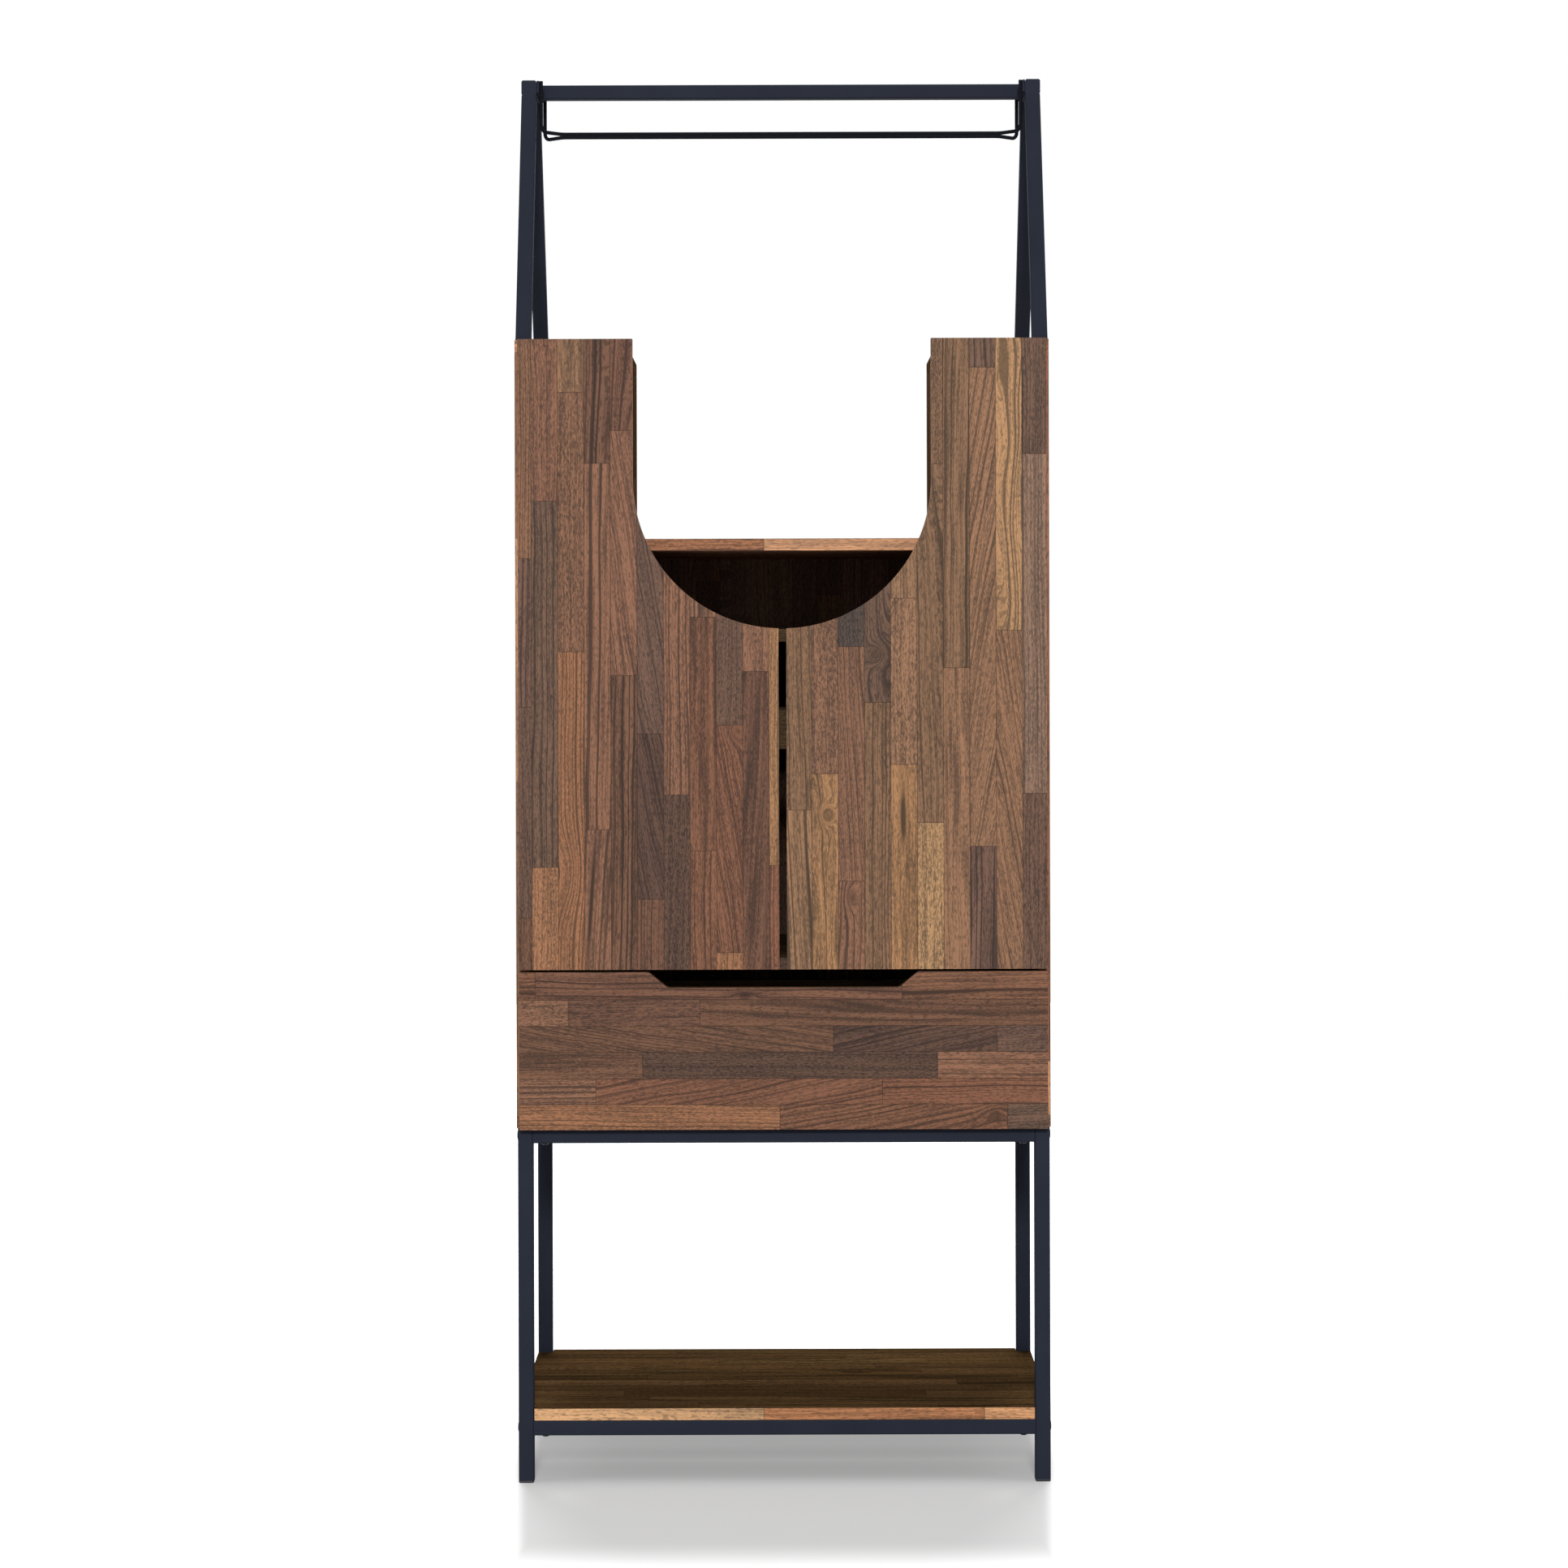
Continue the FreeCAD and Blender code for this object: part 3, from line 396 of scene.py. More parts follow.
# Strength of ring lines, fleck and bands, ring spacing and wander in mm, slope of the grain.
FIGURES = {
    "plain": (0.25, 1.00, 0.55, 3.2, 5, 0.0), "lined": (0.62, 0.90, 0.60, 3.6, 4, 0.0),
    "streaky": (0.80, 0.75, 1.35, 5.0, 4, 0.0), "flecked": (0.22, 1.40, 0.45, 4.0, 5, 0.0),
    "banded": (0.32, 0.80, 1.30, 4.5, 5, 0.0), "wavy": (0.65, 0.75, 0.70, 4.0, 14, 0.0),
    "rising": (0.52, 0.85, 0.60, 3.8, 5, 0.20), "falling": (0.52, 0.85, 0.60, 3.8, 5, -0.17),
    "leaning": (0.60, 0.80, 1.30, 5.0, 5, 0.07), "quiet": (0.20, 0.40, 0.70, 3.2, 5, 0.0),
}
MIXED = ["brown plain", "brown lined", "brown flecked", "russet plain", "russet lined", "umber streaky",
         "umber lined", "greyish plain", "greyish lined", "drab lined", "drab rising", "tawny falling",
         "tawny flecked", "golden wavy", "honey lined", "wheat plain", "dark plain", "dark falling"]
EDGE = ["maple quiet", "cherry quiet", "russet quiet", "honey quiet", "tawny quiet"]
print(len(TONES), "tones and", len(FIGURES), "figures")

# %% Values of one stave
# Ranges within which staves of one kind differ. Distances are in mm, slopes in mm for each mm.
GAIN, TINT = (0.96, 1.04), (0.98, 1.02)
STRAIGHT, SLOPING, TILT = (-0.012, 0.012), (-0.04, 0.04), (-0.05, 0.05)
CORE_ASIDE, CORE_DEEP = (12, 80), (4, 26)
SEEDS, RING_SPREAD = (0, 40), (0.85, 1.2)
# A few staves have a small knot, and ring lines darken a stave, which a brighter level makes up for.
KNOT_CHANCE, KNOT_PUSH, KNOT_SIZE, PUSH_OF_BLACK = 0.03, 22.0, (7.0, 17.0), 60
LEVEL, LEVEL_FOR_LINES = 0.53, 0.16


def stave_values(kind, low, high, dice, knot=None):
    """Values for the faces of one stave, whose corners are given as (across, along) in millimetres.
    A knot is its place (across, along), the push on the rings, its width and length, and its darkness."""
    wood, figure = kind.split()
    lines, fleck, bands, spacing, wander, slant = FIGURES[figure]
    gain = dice.uniform(*GAIN)
    tone = [c * gain * dice.uniform(*TINT) for c in linear(TONES[wood])[:3]]
    middle = ((low[0] + high[0]) / 2, (low[1] + high[1]) / 2)
    slant += dice.choice((dice.uniform(*STRAIGHT), dice.uniform(*SLOPING)))
    tilt = dice.uniform(*TILT)
    aside = dice.uniform(*CORE_ASIDE) + abs(slant) * (high[1] - low[1]) / 2
    core = middle[0] + dice.choice((-1, 1)) * aside - slant * middle[1]
    deep = dice.uniform(*CORE_DEEP) - tilt * middle[1]
    if not knot:
        push = KNOT_PUSH if dice.random() < KNOT_CHANCE else 0.0
        place = (dice.uniform(low[0], high[0]), dice.uniform(low[1], high[1]))
        knot = (*place, push, *KNOT_SIZE, push / PUSH_OF_BLACK)
    return {"stave_low": (*low, dice.uniform(*SEEDS)),
            "stave_high": (*high, spacing * dice.uniform(*RING_SPREAD)),
            "stave_log": (core, deep, tilt), "stave_look": (lines, fleck, slant),
            "stave_knot": knot[:3], "stave_eye": knot[3:],
            "stave_wave": (wander, bands, LEVEL + LEVEL_FOR_LINES * lines), "stave_tone": (*tone, 1.0)}


print("about one random stave in", round(1 / KNOT_CHANCE), "has a knot")

# %% [markdown]
# ## Cutting a board into staves
# A board keeps the shape of its CAD solid. Its copy is merged, its sharp edges are eased by a small
# chamfer, and the faces are then sliced along the glue lines, like a real board seen from outside. Every
# slice knows its stave. Board edges get the long strips of an edge band instead. Slicing in the mesh
# means that one material serves all boards, and that each stave can be chosen.

# %% Copy and ease a CAD solid
# Points this near are one, faces that turn by less, in degrees, are one, and shorter edges are dropped.
ONE_POINT, FLAT, SPECK = 0.002 * MM, 0.5, 0.0005 * MM


def merged_copy(node):
    """A CAD node's loose triangles, joined to a closed solid with whole faces."""
    solid = bmesh.new()
    solid.from_mesh(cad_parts[node].data)
    bmesh.ops.remove_doubles(solid, verts=solid.verts, dist=ONE_POINT)
    bmesh.ops.dissolve_limit(solid, angle_limit=math.radians(FLAT), verts=solid.verts, edges=solid.edges)
    return solid


def ease(solid, width, segments=1, smallest=25, largest=180, shortest=3.0):
    """Bevels the outer edges that turn by smallest to largest degrees and are longer than shortest, in mm."""
    sharp = [e for e in solid.edges
             if len(e.link_faces) == 2 and e.is_convex and e.calc_length() > shortest * MM
             and math.radians(smallest) < e.calc_face_angle(0) < math.radians(largest)]
    bmesh.ops.bevel(solid, geom=sharp, offset=width * MM, segments=segments, profile=0.5, affect="EDGES",
                    clamp_overlap=True, loop_slide=True)
    return solid


def finished(name, solid, materials, body, stands_for, smooth=None):
    """Turns the solid into an object that rides on its body in place of its CAD node. With smooth given,
    only edges that turn by more than that, in degrees, are drawn sharp."""
    bmesh.ops.dissolve_degenerate(solid, dist=SPECK, edges=solid.edges)
    bmesh.ops.triangulate(solid, faces=solid.faces)
    mesh = bpy.data.meshes.new(name)
    solid.to_mesh(mesh)
    solid.free()
    for material in materials:
        mesh.materials.append(material)
    if smooth:
        mesh.shade_smooth()
        mesh.set_sharp_from_angle(angle=math.radians(smooth))
    piece = bpy.data.objects.new(name, mesh)
    bpy.context.scene.collection.objects.link(piece)
    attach(piece, body)
    if stands_for:
        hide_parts(*stands_for)
    return piece


print("CAD nodes to dress:", len(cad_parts))

# %% Slice faces into staves
EVERYWHERE, ON_PLANE = (-9, 9), 1e-7  # metres
NEARLY = 0.001  # mm


def slice_at(solid, faces, axis, place):
    """Cuts the faces by a plane across an axis."""
    normal = Vector([float(i == axis) for i in range(3)])
    geometry = list({v for f in faces for v in f.verts}) + list({e for f in faces for e in f.edges}) + faces
    bmesh.ops.bisect_plane(solid, geom=geometry, dist=ON_PLANE, plane_co=normal * place, plane_no=normal)


def faces_between(solid, tag, number, axis, low, high):
    """Faces of one side of a board whose middles lie between two places along an axis."""
    return [f for f in solid.faces if f[tag] == number and low < f.calc_center_median()[axis] < high]


def stave_layers(solid):
    """Layers on the faces for the values of the staves, made on their first use."""
    vectors, colours = solid.faces.layers.float_vector, solid.faces.layers.float_color
    layers = {name: vectors.get(name) or vectors.new(name) for name in STAVE_VECTORS}
    layers["stave_tone"] = colours.get("stave_tone") or colours.new("stave_tone")
    return layers


def lay_staves(solid, tag, number, across, along, rows, dice):
    """rows lists, for each row of staves, its two sides and its staves as (start, end, kind, knot), in mm."""
    layers = stave_layers(solid)
    grain = solid.loops.layers.uv.get("grain") or solid.loops.layers.uv.new("grain")
    for _, high, _ in rows:
        slice_at(solid, faces_between(solid, tag, number, across, *EVERYWHERE), across, high * MM)
    for low, high, staves in rows:
        for _, end, _, _ in staves[:-1]:
            slice_at(solid, faces_between(solid, tag, number, across, low * MM, high * MM), along, end * MM)
        for start, end, kind, knot in staves:
            start, end = sorted((start, end))
            values = stave_values(kind, (low, start), (high, end), dice, knot)
            for face in faces_between(solid, tag, number, across, low * MM, high * MM):
                if start - NEARLY <= face.calc_center_median()[along] / MM <= end + NEARLY:
                    for name, layer in layers.items():
                        face[layer] = values[name]
                    for loop in face.loops:
                        loop[grain].uv = (loop.vert.co[across] / MM, loop.vert.co[along] / MM)


print("a face keeps", len(STAVE_VECTORS) + 1, "layers")

# %% Rows of staves
STAVE = 34.4
STAVE_LENGTHS, BAND_LENGTHS = (180, 520), (260, 620)
CUT_OFF = (0.1, 0.9)  # share of the first row that lies outside the board
CLEAR = (0, 0, 0, 9, 9, 0)  # a knot that leaves the wood clear


def random_line(run, dice, kinds, lengths=STAVE_LENGTHS):
    """Staves of random length and kind, end to end along run."""
    staves, start = [], run[0] - dice.uniform(0, lengths[0])
    while start < run[1]:
        end = start + dice.uniform(*lengths)
        staves.append((start, end, dice.choice(kinds), None))
        start = end
    return staves


def random_rows(span, run, dice, kinds):
    """Rows of random staves that cover span across and run along."""
    first = span[0] - dice.uniform(*CUT_OFF) * STAVE
    lines = [first + STAVE * i for i in range(math.ceil((span[1] - first) / STAVE))]
    return [(line, line + STAVE, random_line(run, dice, kinds)) for line in lines]


def listed_rows(lines, listed, start_at):
    """Rows of staves from a list: each row has its staves as (end, kind) or (end, kind, knot), in order."""
    rows = []
    for low, high, line in zip(lines, lines[1:], listed):
        staves, start = [], start_at
        for end, kind, *knot in line:
            staves.append((start, end, kind, knot[0] if knot else CLEAR))
            start = end
        rows.append((low, high, staves))
    return rows


print("stave width", STAVE, "mm")

# %% [markdown]
# ## The boards
# Most boards only need a thickness axis and a direction for the staves. Doors and the drawer front are
# what the eye looks at, so their staves are listed one by one, with the joints at the heights where the
# real ones are. All other boards get random staves from a fixed seed.

# %% Board builder
BROAD_FACE = 0.6  # least part of a normal along the thickness; an eased edge has more
BOARD_EASE, MARGIN = 0.5, 1  # mm: width of an eased edge, and reach of the rows past the board


def number_sides(solid, thick, across, along):
    """Numbers the sides of a board: 1 and 2 are the two broad faces, 3 to 6 the edges."""
    tag = solid.faces.layers.int.new("side")
    for face in solid.faces:
        n = face.normal
        if abs(n[thick]) > BROAD_FACE:
            face[tag] = 1 if n[thick] < 0 else 2
        elif abs(n[across]) > abs(n[along]):
            face[tag] = 3 if n[across] < 0 else 4
        else:
            face[tag] = 5 if n[along] < 0 else 6
    return tag


def board(node, thick, along, body="carcass", laid=None, seed=1, kinds=MIXED, ease_by=BOARD_EASE,
          shape=None, backing=None, finish=lacquered):
    """A board in staves, given the axes of its thickness and of its staves. laid gives rows for the sides
    that are listed, by their numbers. With a backing, only the front is in staves."""
    laid = laid or {}
    dice = random.Random(seed)
    across = X + Y + Z - thick - along
    low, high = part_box(node)
    solid = merged_copy(node)
    if shape:
        shape(solid)
    ease(solid, ease_by)
    bmesh.ops.triangulate(solid, faces=solid.faces)
    tag = number_sides(solid, thick, across, along)
    span, run, depth = [(low[a] / MM - MARGIN, high[a] / MM + MARGIN) for a in (across, along, thick)]
    if backing:
        for face in solid.faces:
            face.material_index = int(face[tag] != 1)
        lay_staves(solid, tag, 1, across, along, random_rows(span, run, dice, kinds), dice)
        return finished(node + "_sheet", solid, [finish, backing], body, [node])
    for number in (1, 2):
        rows = laid.get(number) or random_rows(span, run, dice, kinds)
        lay_staves(solid, tag, number, across, along, rows, dice)
    for number, direction, reach in ((3, along, run), (4, along, run), (5, across, span), (6, across, span)):
        rows = laid.get(number) or [(*depth, random_line(reach, dice, EDGE, BAND_LENGTHS))]
        lay_staves(solid, tag, number, thick, direction, rows, dice)
    return finished(node + "_staves", solid, [finish], body, [node])


print("edge bands:", EDGE)

# %% Listed staves of the doors and the drawer front
# Lines between the rows and joints in them, in mm. The lists start and end a little outside the boards. A
# knot is (across, along, push on the rings, width, length, darkness); a narrow long one is a mineral
# streak.
ABOVE, FOOT = 1500, 670
LEFT, RIGHT = -346, 346
LEFT_LINES = [LEFT] + [-327.4 + STAVE * i for i in range(10)] + [-4]
LEFT_DOOR = [
    [(1211, "brown lined"), (1017, "greyish lined"), (742, "greyish plain"), (FOOT, "umber plain")],
    [(1286, "brown plain"), (808, "greyish lined"), (FOOT, "honey flecked")],
    [(1428, "tawny banded"), (1089, "brown flecked"), (FOOT, "honey lined", (-300, 800, 26, 30, 44, 0.0))],
    [(1335, "umber streaky"), (857, "brown streaky"), (FOOT, "brown leaning", (-250, 765, 6, 2.6, 80, 1.3))],
    [(1378, "umber lined"), (1058, "brown falling"), (FOOT, "umber streaky")],
    [(982, "greyish falling"), (766, "dark falling"), (FOOT, "umber lined")],
    [(902, "brown lined"), (FOOT, "dark flecked")],
    [(1134, "brown streaky"), (829, "russet banded"), (FOOT, "russet lined")],
    [(993, "greyish plain"), (696, "russet falling", (-62, 985, 22, 12, 16, 0.3)), (FOOT, "honey plain")],
    [(1063, "brown plain"), (FOOT, "umber banded")],
    [(810, "golden lined"), (FOOT, "russet lined")],
]
RIGHT_LINES = [4] + [38.0 + STAVE * i for i in range(9)] + [RIGHT]
RIGHT_DOOR = [
    [(882, "drab lined"), (FOOT, "tawny streaky")],
    [(929, "brown flecked"), (FOOT, "golden wavy", (58, 875, 30, 8, 11, 0.6))],
    [(1095, "black flecked"), (789, "brown lined"), (FOOT, "brown wavy", (88, 768, 8, 8, 18, 0.5))],
    [(1022, "greyish wavy", (124, 1085, 14, 12, 14, 0.4)), (FOOT, "drab lined")],
    [(1158, "tawny lined"), (941, "tawny flecked"), (FOOT, "golden banded", (157, 872, 4, 3.6, 34, 1.5))],
    [(1333, "drab flecked"), (865, "drab lined"), (FOOT, "wheat flecked")],
    [(1067, "drab streaky"), (FOOT, "tawny banded")],
    [(1459, "greyish streaky"), (834, "tawny rising"), (FOOT, "greyish streaky")],
    [(1116, "wheat wavy"), (FOOT, "tawny falling")],
    [(1346, "greyish lined"), (903, "mauve lined"), (FOOT, "greyish plain")],
]
DRAWER_LINES = [464, 498, 531.6, 566.2, 600.4, 634.7, 672]
DRAWER = [
    [(-5, "honey lined"), (292, "russet rising", (488, 276, 14, 10, 18, 0.2)), (RIGHT, "greyish plain")],
    [(-245, "brown lined"), (129, "russet rising"), (RIGHT, "russet lined")],
    [(-184, "umber banded"), (201, "dark flecked"), (RIGHT, "brown lined")],
    [(65, "umber falling"), (279, "dark rising"), (RIGHT, "greyish plain")],
    [(-281, "brown flecked"), (-109, "umber plain"), (RIGHT, "umber banded")],
    [(-324, "russet streaky"), (155, "umber streaky", (641, -50, 8, 4.5, 15, 1.0)),
     (RIGHT, "russet streaky")],
]
print("listed staves:", sum(map(len, LEFT_DOOR + RIGHT_DOOR + DRAWER)))

# %% Doors and drawer front
ARCH_CENTRE, ARCH_RADIUS, ARCH_CUTS = 1314 * MM, 195 * MM, 4
# A point this near to the arch is on it, an edge this level lies in a face, a new point this near is moved.
ON_ARCH, IN_FACE, NEAR_ARCH = 0.05 * MM, 0.01 * MM, 2 * MM
# The top edge of the drawer front is dark, from end to end and a little more: painted shade for the gap
# under the doors.
PAST_LEFT, PAST_RIGHT = -352, 352
FRONT_DEPTH = (-201, -182)


def round_arch(solid):
    """Divides the flats of the arch, so that the saw cut is a true curve."""
    def on_arch(v):
        from_centre = math.hypot(v.co.x, v.co.z - ARCH_CENTRE)
        return abs(from_centre - ARCH_RADIUS) < ON_ARCH and v.co.z < ARCH_CENTRE + MM
    flats = [e for e in solid.edges if on_arch(e.verts[0]) and on_arch(e.verts[1]) and
             abs(e.verts[0].co.y - e.verts[1].co.y) < IN_FACE]
    new = bmesh.ops.subdivide_edges(solid, edges=flats, cuts=ARCH_CUTS, use_grid_fill=True)
    for v in {v for v in new["geom_inner"] if isinstance(v, bmesh.types.BMVert)}:
        arm = Vector((v.co.x, v.co.z - ARCH_CENTRE))
        if abs(arm.length - ARCH_RADIUS) < NEAR_ARCH:
            arm = arm.normalized() * ARCH_RADIUS
            v.co.x, v.co.z = arm.x, arm.y + ARCH_CENTRE


left_staves = listed_rows(LEFT_LINES, LEFT_DOOR, ABOVE)
right_staves = listed_rows(RIGHT_LINES, RIGHT_DOOR, ABOVE)
drawer_staves = listed_rows(DRAWER_LINES, DRAWER, LEFT)
drawer_top_painted_shade = listed_rows(FRONT_DEPTH, [[(PAST_RIGHT, "ebony plain")]], PAST_LEFT)
fronts = [
    board("left_door", Y, Z, "left_door_leaf", {1: left_staves}, seed=11, shape=round_arch),
    board("right_door", Y, Z, "right_door_leaf", {1: right_staves}, seed=12, shape=round_arch),
    board("drawer_front", Y, X, "drawer", {1: drawer_staves, 4: drawer_top_painted_shade}, seed=13),
]
print("fronts:", [(f.name, len(f.data.polygons)) for f in fronts])

# %% Listed staves of the carcass
# The edges of the middle shelf, the deck and the bottle rail, which show in the gap between the doors,
# get dark woods as painted shade for the shadow in that gap. The top of the lower shelf, under the
# cabinet, and the drawer deck, inside it, get nearly black woods as painted shade. The lower shelf is
# painted darkest at the rear, against the light from the soft box behind, so each row takes its woods
# from a window of a list.
INNER = ["olive plain", "olive lined", "drab lined", "drab plain", "umber plain"]
SHELF_PAINTED_SHADE = ["ebony plain", "ebony lined", "ebony banded", "burnt plain", "burnt lined", "smoked plain",
         "burnt banded", "smoked lined", "olive plain", "smoked plain", "olive lined", "olive banded",
         "olive plain"]
SHELF_REAR, SHELF_RUN, SHELF_ROWS, WINDOW = 199, (-350, 350), 12, 3
# Heights and depths round the ends of the top boards, and height of the lower row on the bottle rail, in mm.
TOP_EDGE, TOP_END, RAIL_ROW = (1480, 1500), (-205, 205), 20


def strip(node, *pieces):
    """One edge band along the front of a board, from its left end: (end in mm, wood)."""
    low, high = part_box(node)
    lines = [low.z / MM - MARGIN, high.z / MM + MARGIN]
    return {3: listed_rows(lines, [pieces], low.x / MM - MARGIN)}


shelf_dice = random.Random(29)
shelf_top_painted_shade = [(SHELF_REAR - STAVE * (row + 1), SHELF_REAR - STAVE * row,
               random_line(SHELF_RUN, shelf_dice, SHELF_PAINTED_SHADE[row:row + WINDOW])) for row in range(SHELF_ROWS)]
shelf_edge = strip("lower_shelf", (-27, "sapwood quiet"), (262, "pear quiet"), (PAST_RIGHT, "alder quiet"))
niche_edge = strip("niche_shelf", (-24, "cherry lined"), (350, "maple quiet"))
middle_edge = strip("middle_shelf", (-205, "umber lined"), (170, "burnt plain"), (PAST_RIGHT, "dark plain"))
deck_edge = strip("drawer_deck", (-160, "russet plain"), (215, "dark plain"), (PAST_RIGHT, "umber lined"))
rail_low, rail_high = [corner.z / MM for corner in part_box("front_bottle_rail")]
rail_rows = listed_rows([rail_low - MARGIN, rail_low + RAIL_ROW, rail_high + MARGIN],
                        [[(-140, "umber lined"), (95, "burnt plain"), (PAST_RIGHT, "dark plain")],
                         [(-75, "dark lined"), (160, "ebony plain"), (PAST_RIGHT, "umber plain")]],
                        PAST_LEFT)
top_end = listed_rows(TOP_EDGE, [[(TOP_END[1], "olive plain")]], TOP_END[0])
print("rows of the lower shelf:", len(shelf_top_painted_shade))

# %% Carcass boards
carcass_boards = [
    board("left_side_panel", X, Z, seed=21),
    board("right_side_panel", X, Z, seed=22),
    board("left_tower_wall", X, Z, seed=23, finish=oiled, kinds=INNER),
    board("right_tower_wall", X, Z, seed=24, finish=oiled, kinds=INNER),
    board("bottom_board", Z, X, seed=25),
    board("drawer_deck", Z, X, seed=26, kinds=SHELF_PAINTED_SHADE[3:9], laid=deck_edge),
    board("middle_shelf", Z, X, seed=27, laid=middle_edge),
    board("niche_shelf", Z, X, seed=28, laid=niche_edge),
    board("lower_shelf", Z, X, seed=29, finish=oiled, kinds=SHELF_PAINTED_SHADE[5:], laid={2: shelf_top_painted_shade} | shelf_edge),
    board("left_top_board", Z, X, seed=30, finish=oiled, laid={6: top_end}),
    board("right_top_board", Z, X, seed=31, finish=oiled, laid={5: top_end}),
    board("front_bottle_rail", Y, X, seed=32, laid={1: rail_rows}),
    board("rear_bottle_rail", Y, X, seed=33),
]
print("carcass boards:", len(carcass_boards))

# %% [markdown]
# ## Backs and drawer box
# The backs are thin hardboard: its front carries the same stave pattern as the shelves, its rear shows
# brown pressed fibre with the print of the wire screen that it was pressed on. The drawer box is plain
# board in a light foil with a faint straight grain.

# %% Hardboard material
# What it gives the eye: tobacco-brown felted fibres in all directions, matt, with the weave of the press
# screen, drawn 3 mm wide instead of 1.5 so that it shows.
def set_ramp(node, *stops):
    """Gives the two ends of a colour ramp their places and colours."""
    for element, (position, code) in zip(node.color_ramp.elements, stops):
        element.position = position
        element.color = linear(code)


FIBRE_WIDE, MOTTLE_WIDE, WEAVE_WIDE = 5 * MM, 70 * MM, 3 * MM
FIBRE_TONE, MOTTLE_TONE, FIBRE_RELIEF = 0.6, 0.4, 1.5
hardboard, tree = new_material("screen_backed_hardboard")
place = add(tree, "ShaderNodeTexCoord").outputs["Object"]
fibre = add(tree, "ShaderNodeTexNoise", {"Vector": place, "Scale": 1 / FIBRE_WIDE, "Detail": 5.0,
                                         "Roughness": 0.7, "Distortion": 1.2})
mottle = add(tree, "ShaderNodeTexNoise", {"Vector": place, "Scale": 1 / MOTTLE_WIDE, "Detail": 3.0})
felt = add(tree, "ShaderNodeMath", [fibre, FIBRE_TONE, 0.0], operation="MULTIPLY_ADD")
felt = add(tree, "ShaderNodeMath", [mottle, MOTTLE_TONE, felt], operation="MULTIPLY_ADD")
felt = add(tree, "ShaderNodeValToRGB", [felt])
set_ramp(felt, (0.36, "#5d3f2b"), (0.66, "#8a6245"))
wave = add(tree, "ShaderNodeVectorMath", [place, (2 * math.pi / WEAVE_WIDE,) * 3], operation="MULTIPLY")
wave = add(tree, "ShaderNodeVectorMath", [wave], operation="SINE")
wave = add(tree, "ShaderNodeSeparateXYZ", [wave]).outputs
weave = add(tree, "ShaderNodeMath", [wave[X], wave[Z]], operation="MULTIPLY")
weave = add(tree, "ShaderNodeMath", [fibre, FIBRE_RELIEF, weave], operation="MULTIPLY_ADD")
press = add(tree, "ShaderNodeBump", {"Height": weave, "Strength": 0.35, "Distance": 0.25 * MM})
pulp = add(tree, "ShaderNodeBsdfPrincipled", {"Base Color": felt, "Roughness": 0.82, "Normal": press,
                                              "Specular IOR Level": 0.2})
add(tree, "ShaderNodeOutputMaterial", [pulp])
print(hardboard.name, "has", len(tree.nodes), "nodes")

# %% Foil board material
# What it gives the eye: pale brown foil with straight fine lines along the board and a soft satin face.
STRIPE_LONG, STRIPE_WIDE = 160 * MM, 2.4 * MM
foil, tree = new_material("light_foil_board")
place = add(tree, "ShaderNodeTexCoord").outputs["Object"]
lengthwise = (1 / STRIPE_LONG, 1 / STRIPE_LONG, 1 / STRIPE_WIDE)
lengthwise = add(tree, "ShaderNodeVectorMath", [place, lengthwise], operation="MULTIPLY")
stripe = add(tree, "ShaderNodeTexNoise", {"Vector": lengthwise, "Scale": 1.0, "Detail": 3.0})
tint = add(tree, "ShaderNodeValToRGB", [stripe])
set_ramp(tint, (0.30, "#a28061"), (0.70, "#c4a684"))
pressed = add(tree, "ShaderNodeBump", {"Height": stripe, "Strength": 0.15, "Distance": 0.1 * MM})
skin = add(tree, "ShaderNodeBsdfPrincipled", {"Base Color": tint, "Roughness": 0.5, "Normal": pressed,
                                              "Specular IOR Level": 0.3})
add(tree, "ShaderNodeOutputMaterial", [skin])
print(foil.name, "has", len(tree.nodes), "nodes")

# %% Backs and drawer box
BACK_EASE, BOTTOM_EASE = 0.25, 0.2
BACK_KINDS = ["mauve plain", "mauve lined", "drab plain", "greyish plain"]
backs = [board(node, Y, Z, seed=seed, kinds=BACK_KINDS, backing=hardboard, ease_by=BACK_EASE)
         for node, seed in (("back_panel", 41), ("tower_backs", 42))]
box_boards = [finished(node + "_board", ease(merged_copy(node), BOARD_EASE), [foil], "drawer",
                       [node])
              for node in ("drawer_left_side", "drawer_right_side", "drawer_back")]
bottom = ease(merged_copy("drawer_bottom"), BOTTOM_EASE)
box_boards.append(finished("drawer_bottom_sheet", bottom, [hardboard], "drawer",
                           ["drawer_bottom"]))
print("backs and drawer box:", len(backs) + len(box_boards))

# %% [markdown]
# ## Steel frame
# The frame is 20 mm square tube, welded, ground and powder coated in a blue-black. Tube is rolled, so its
# corners are round: a bevel turns the flat corner of the CAD tube into a curve.

# %% Powder coat material
# What it gives the eye: a deep slate colour with a faint blue cast, half matt, with the orange-peel
# ripple of baked powder about 1.5 mm across, and slightly paler where the coat is thin. The rack rods
# are the same slate, but their coat is made nearly black as painted shade, for the shade on their
# lower halves.
PEEL, THIN_PLACES = 1.5 * MM, 60 * MM


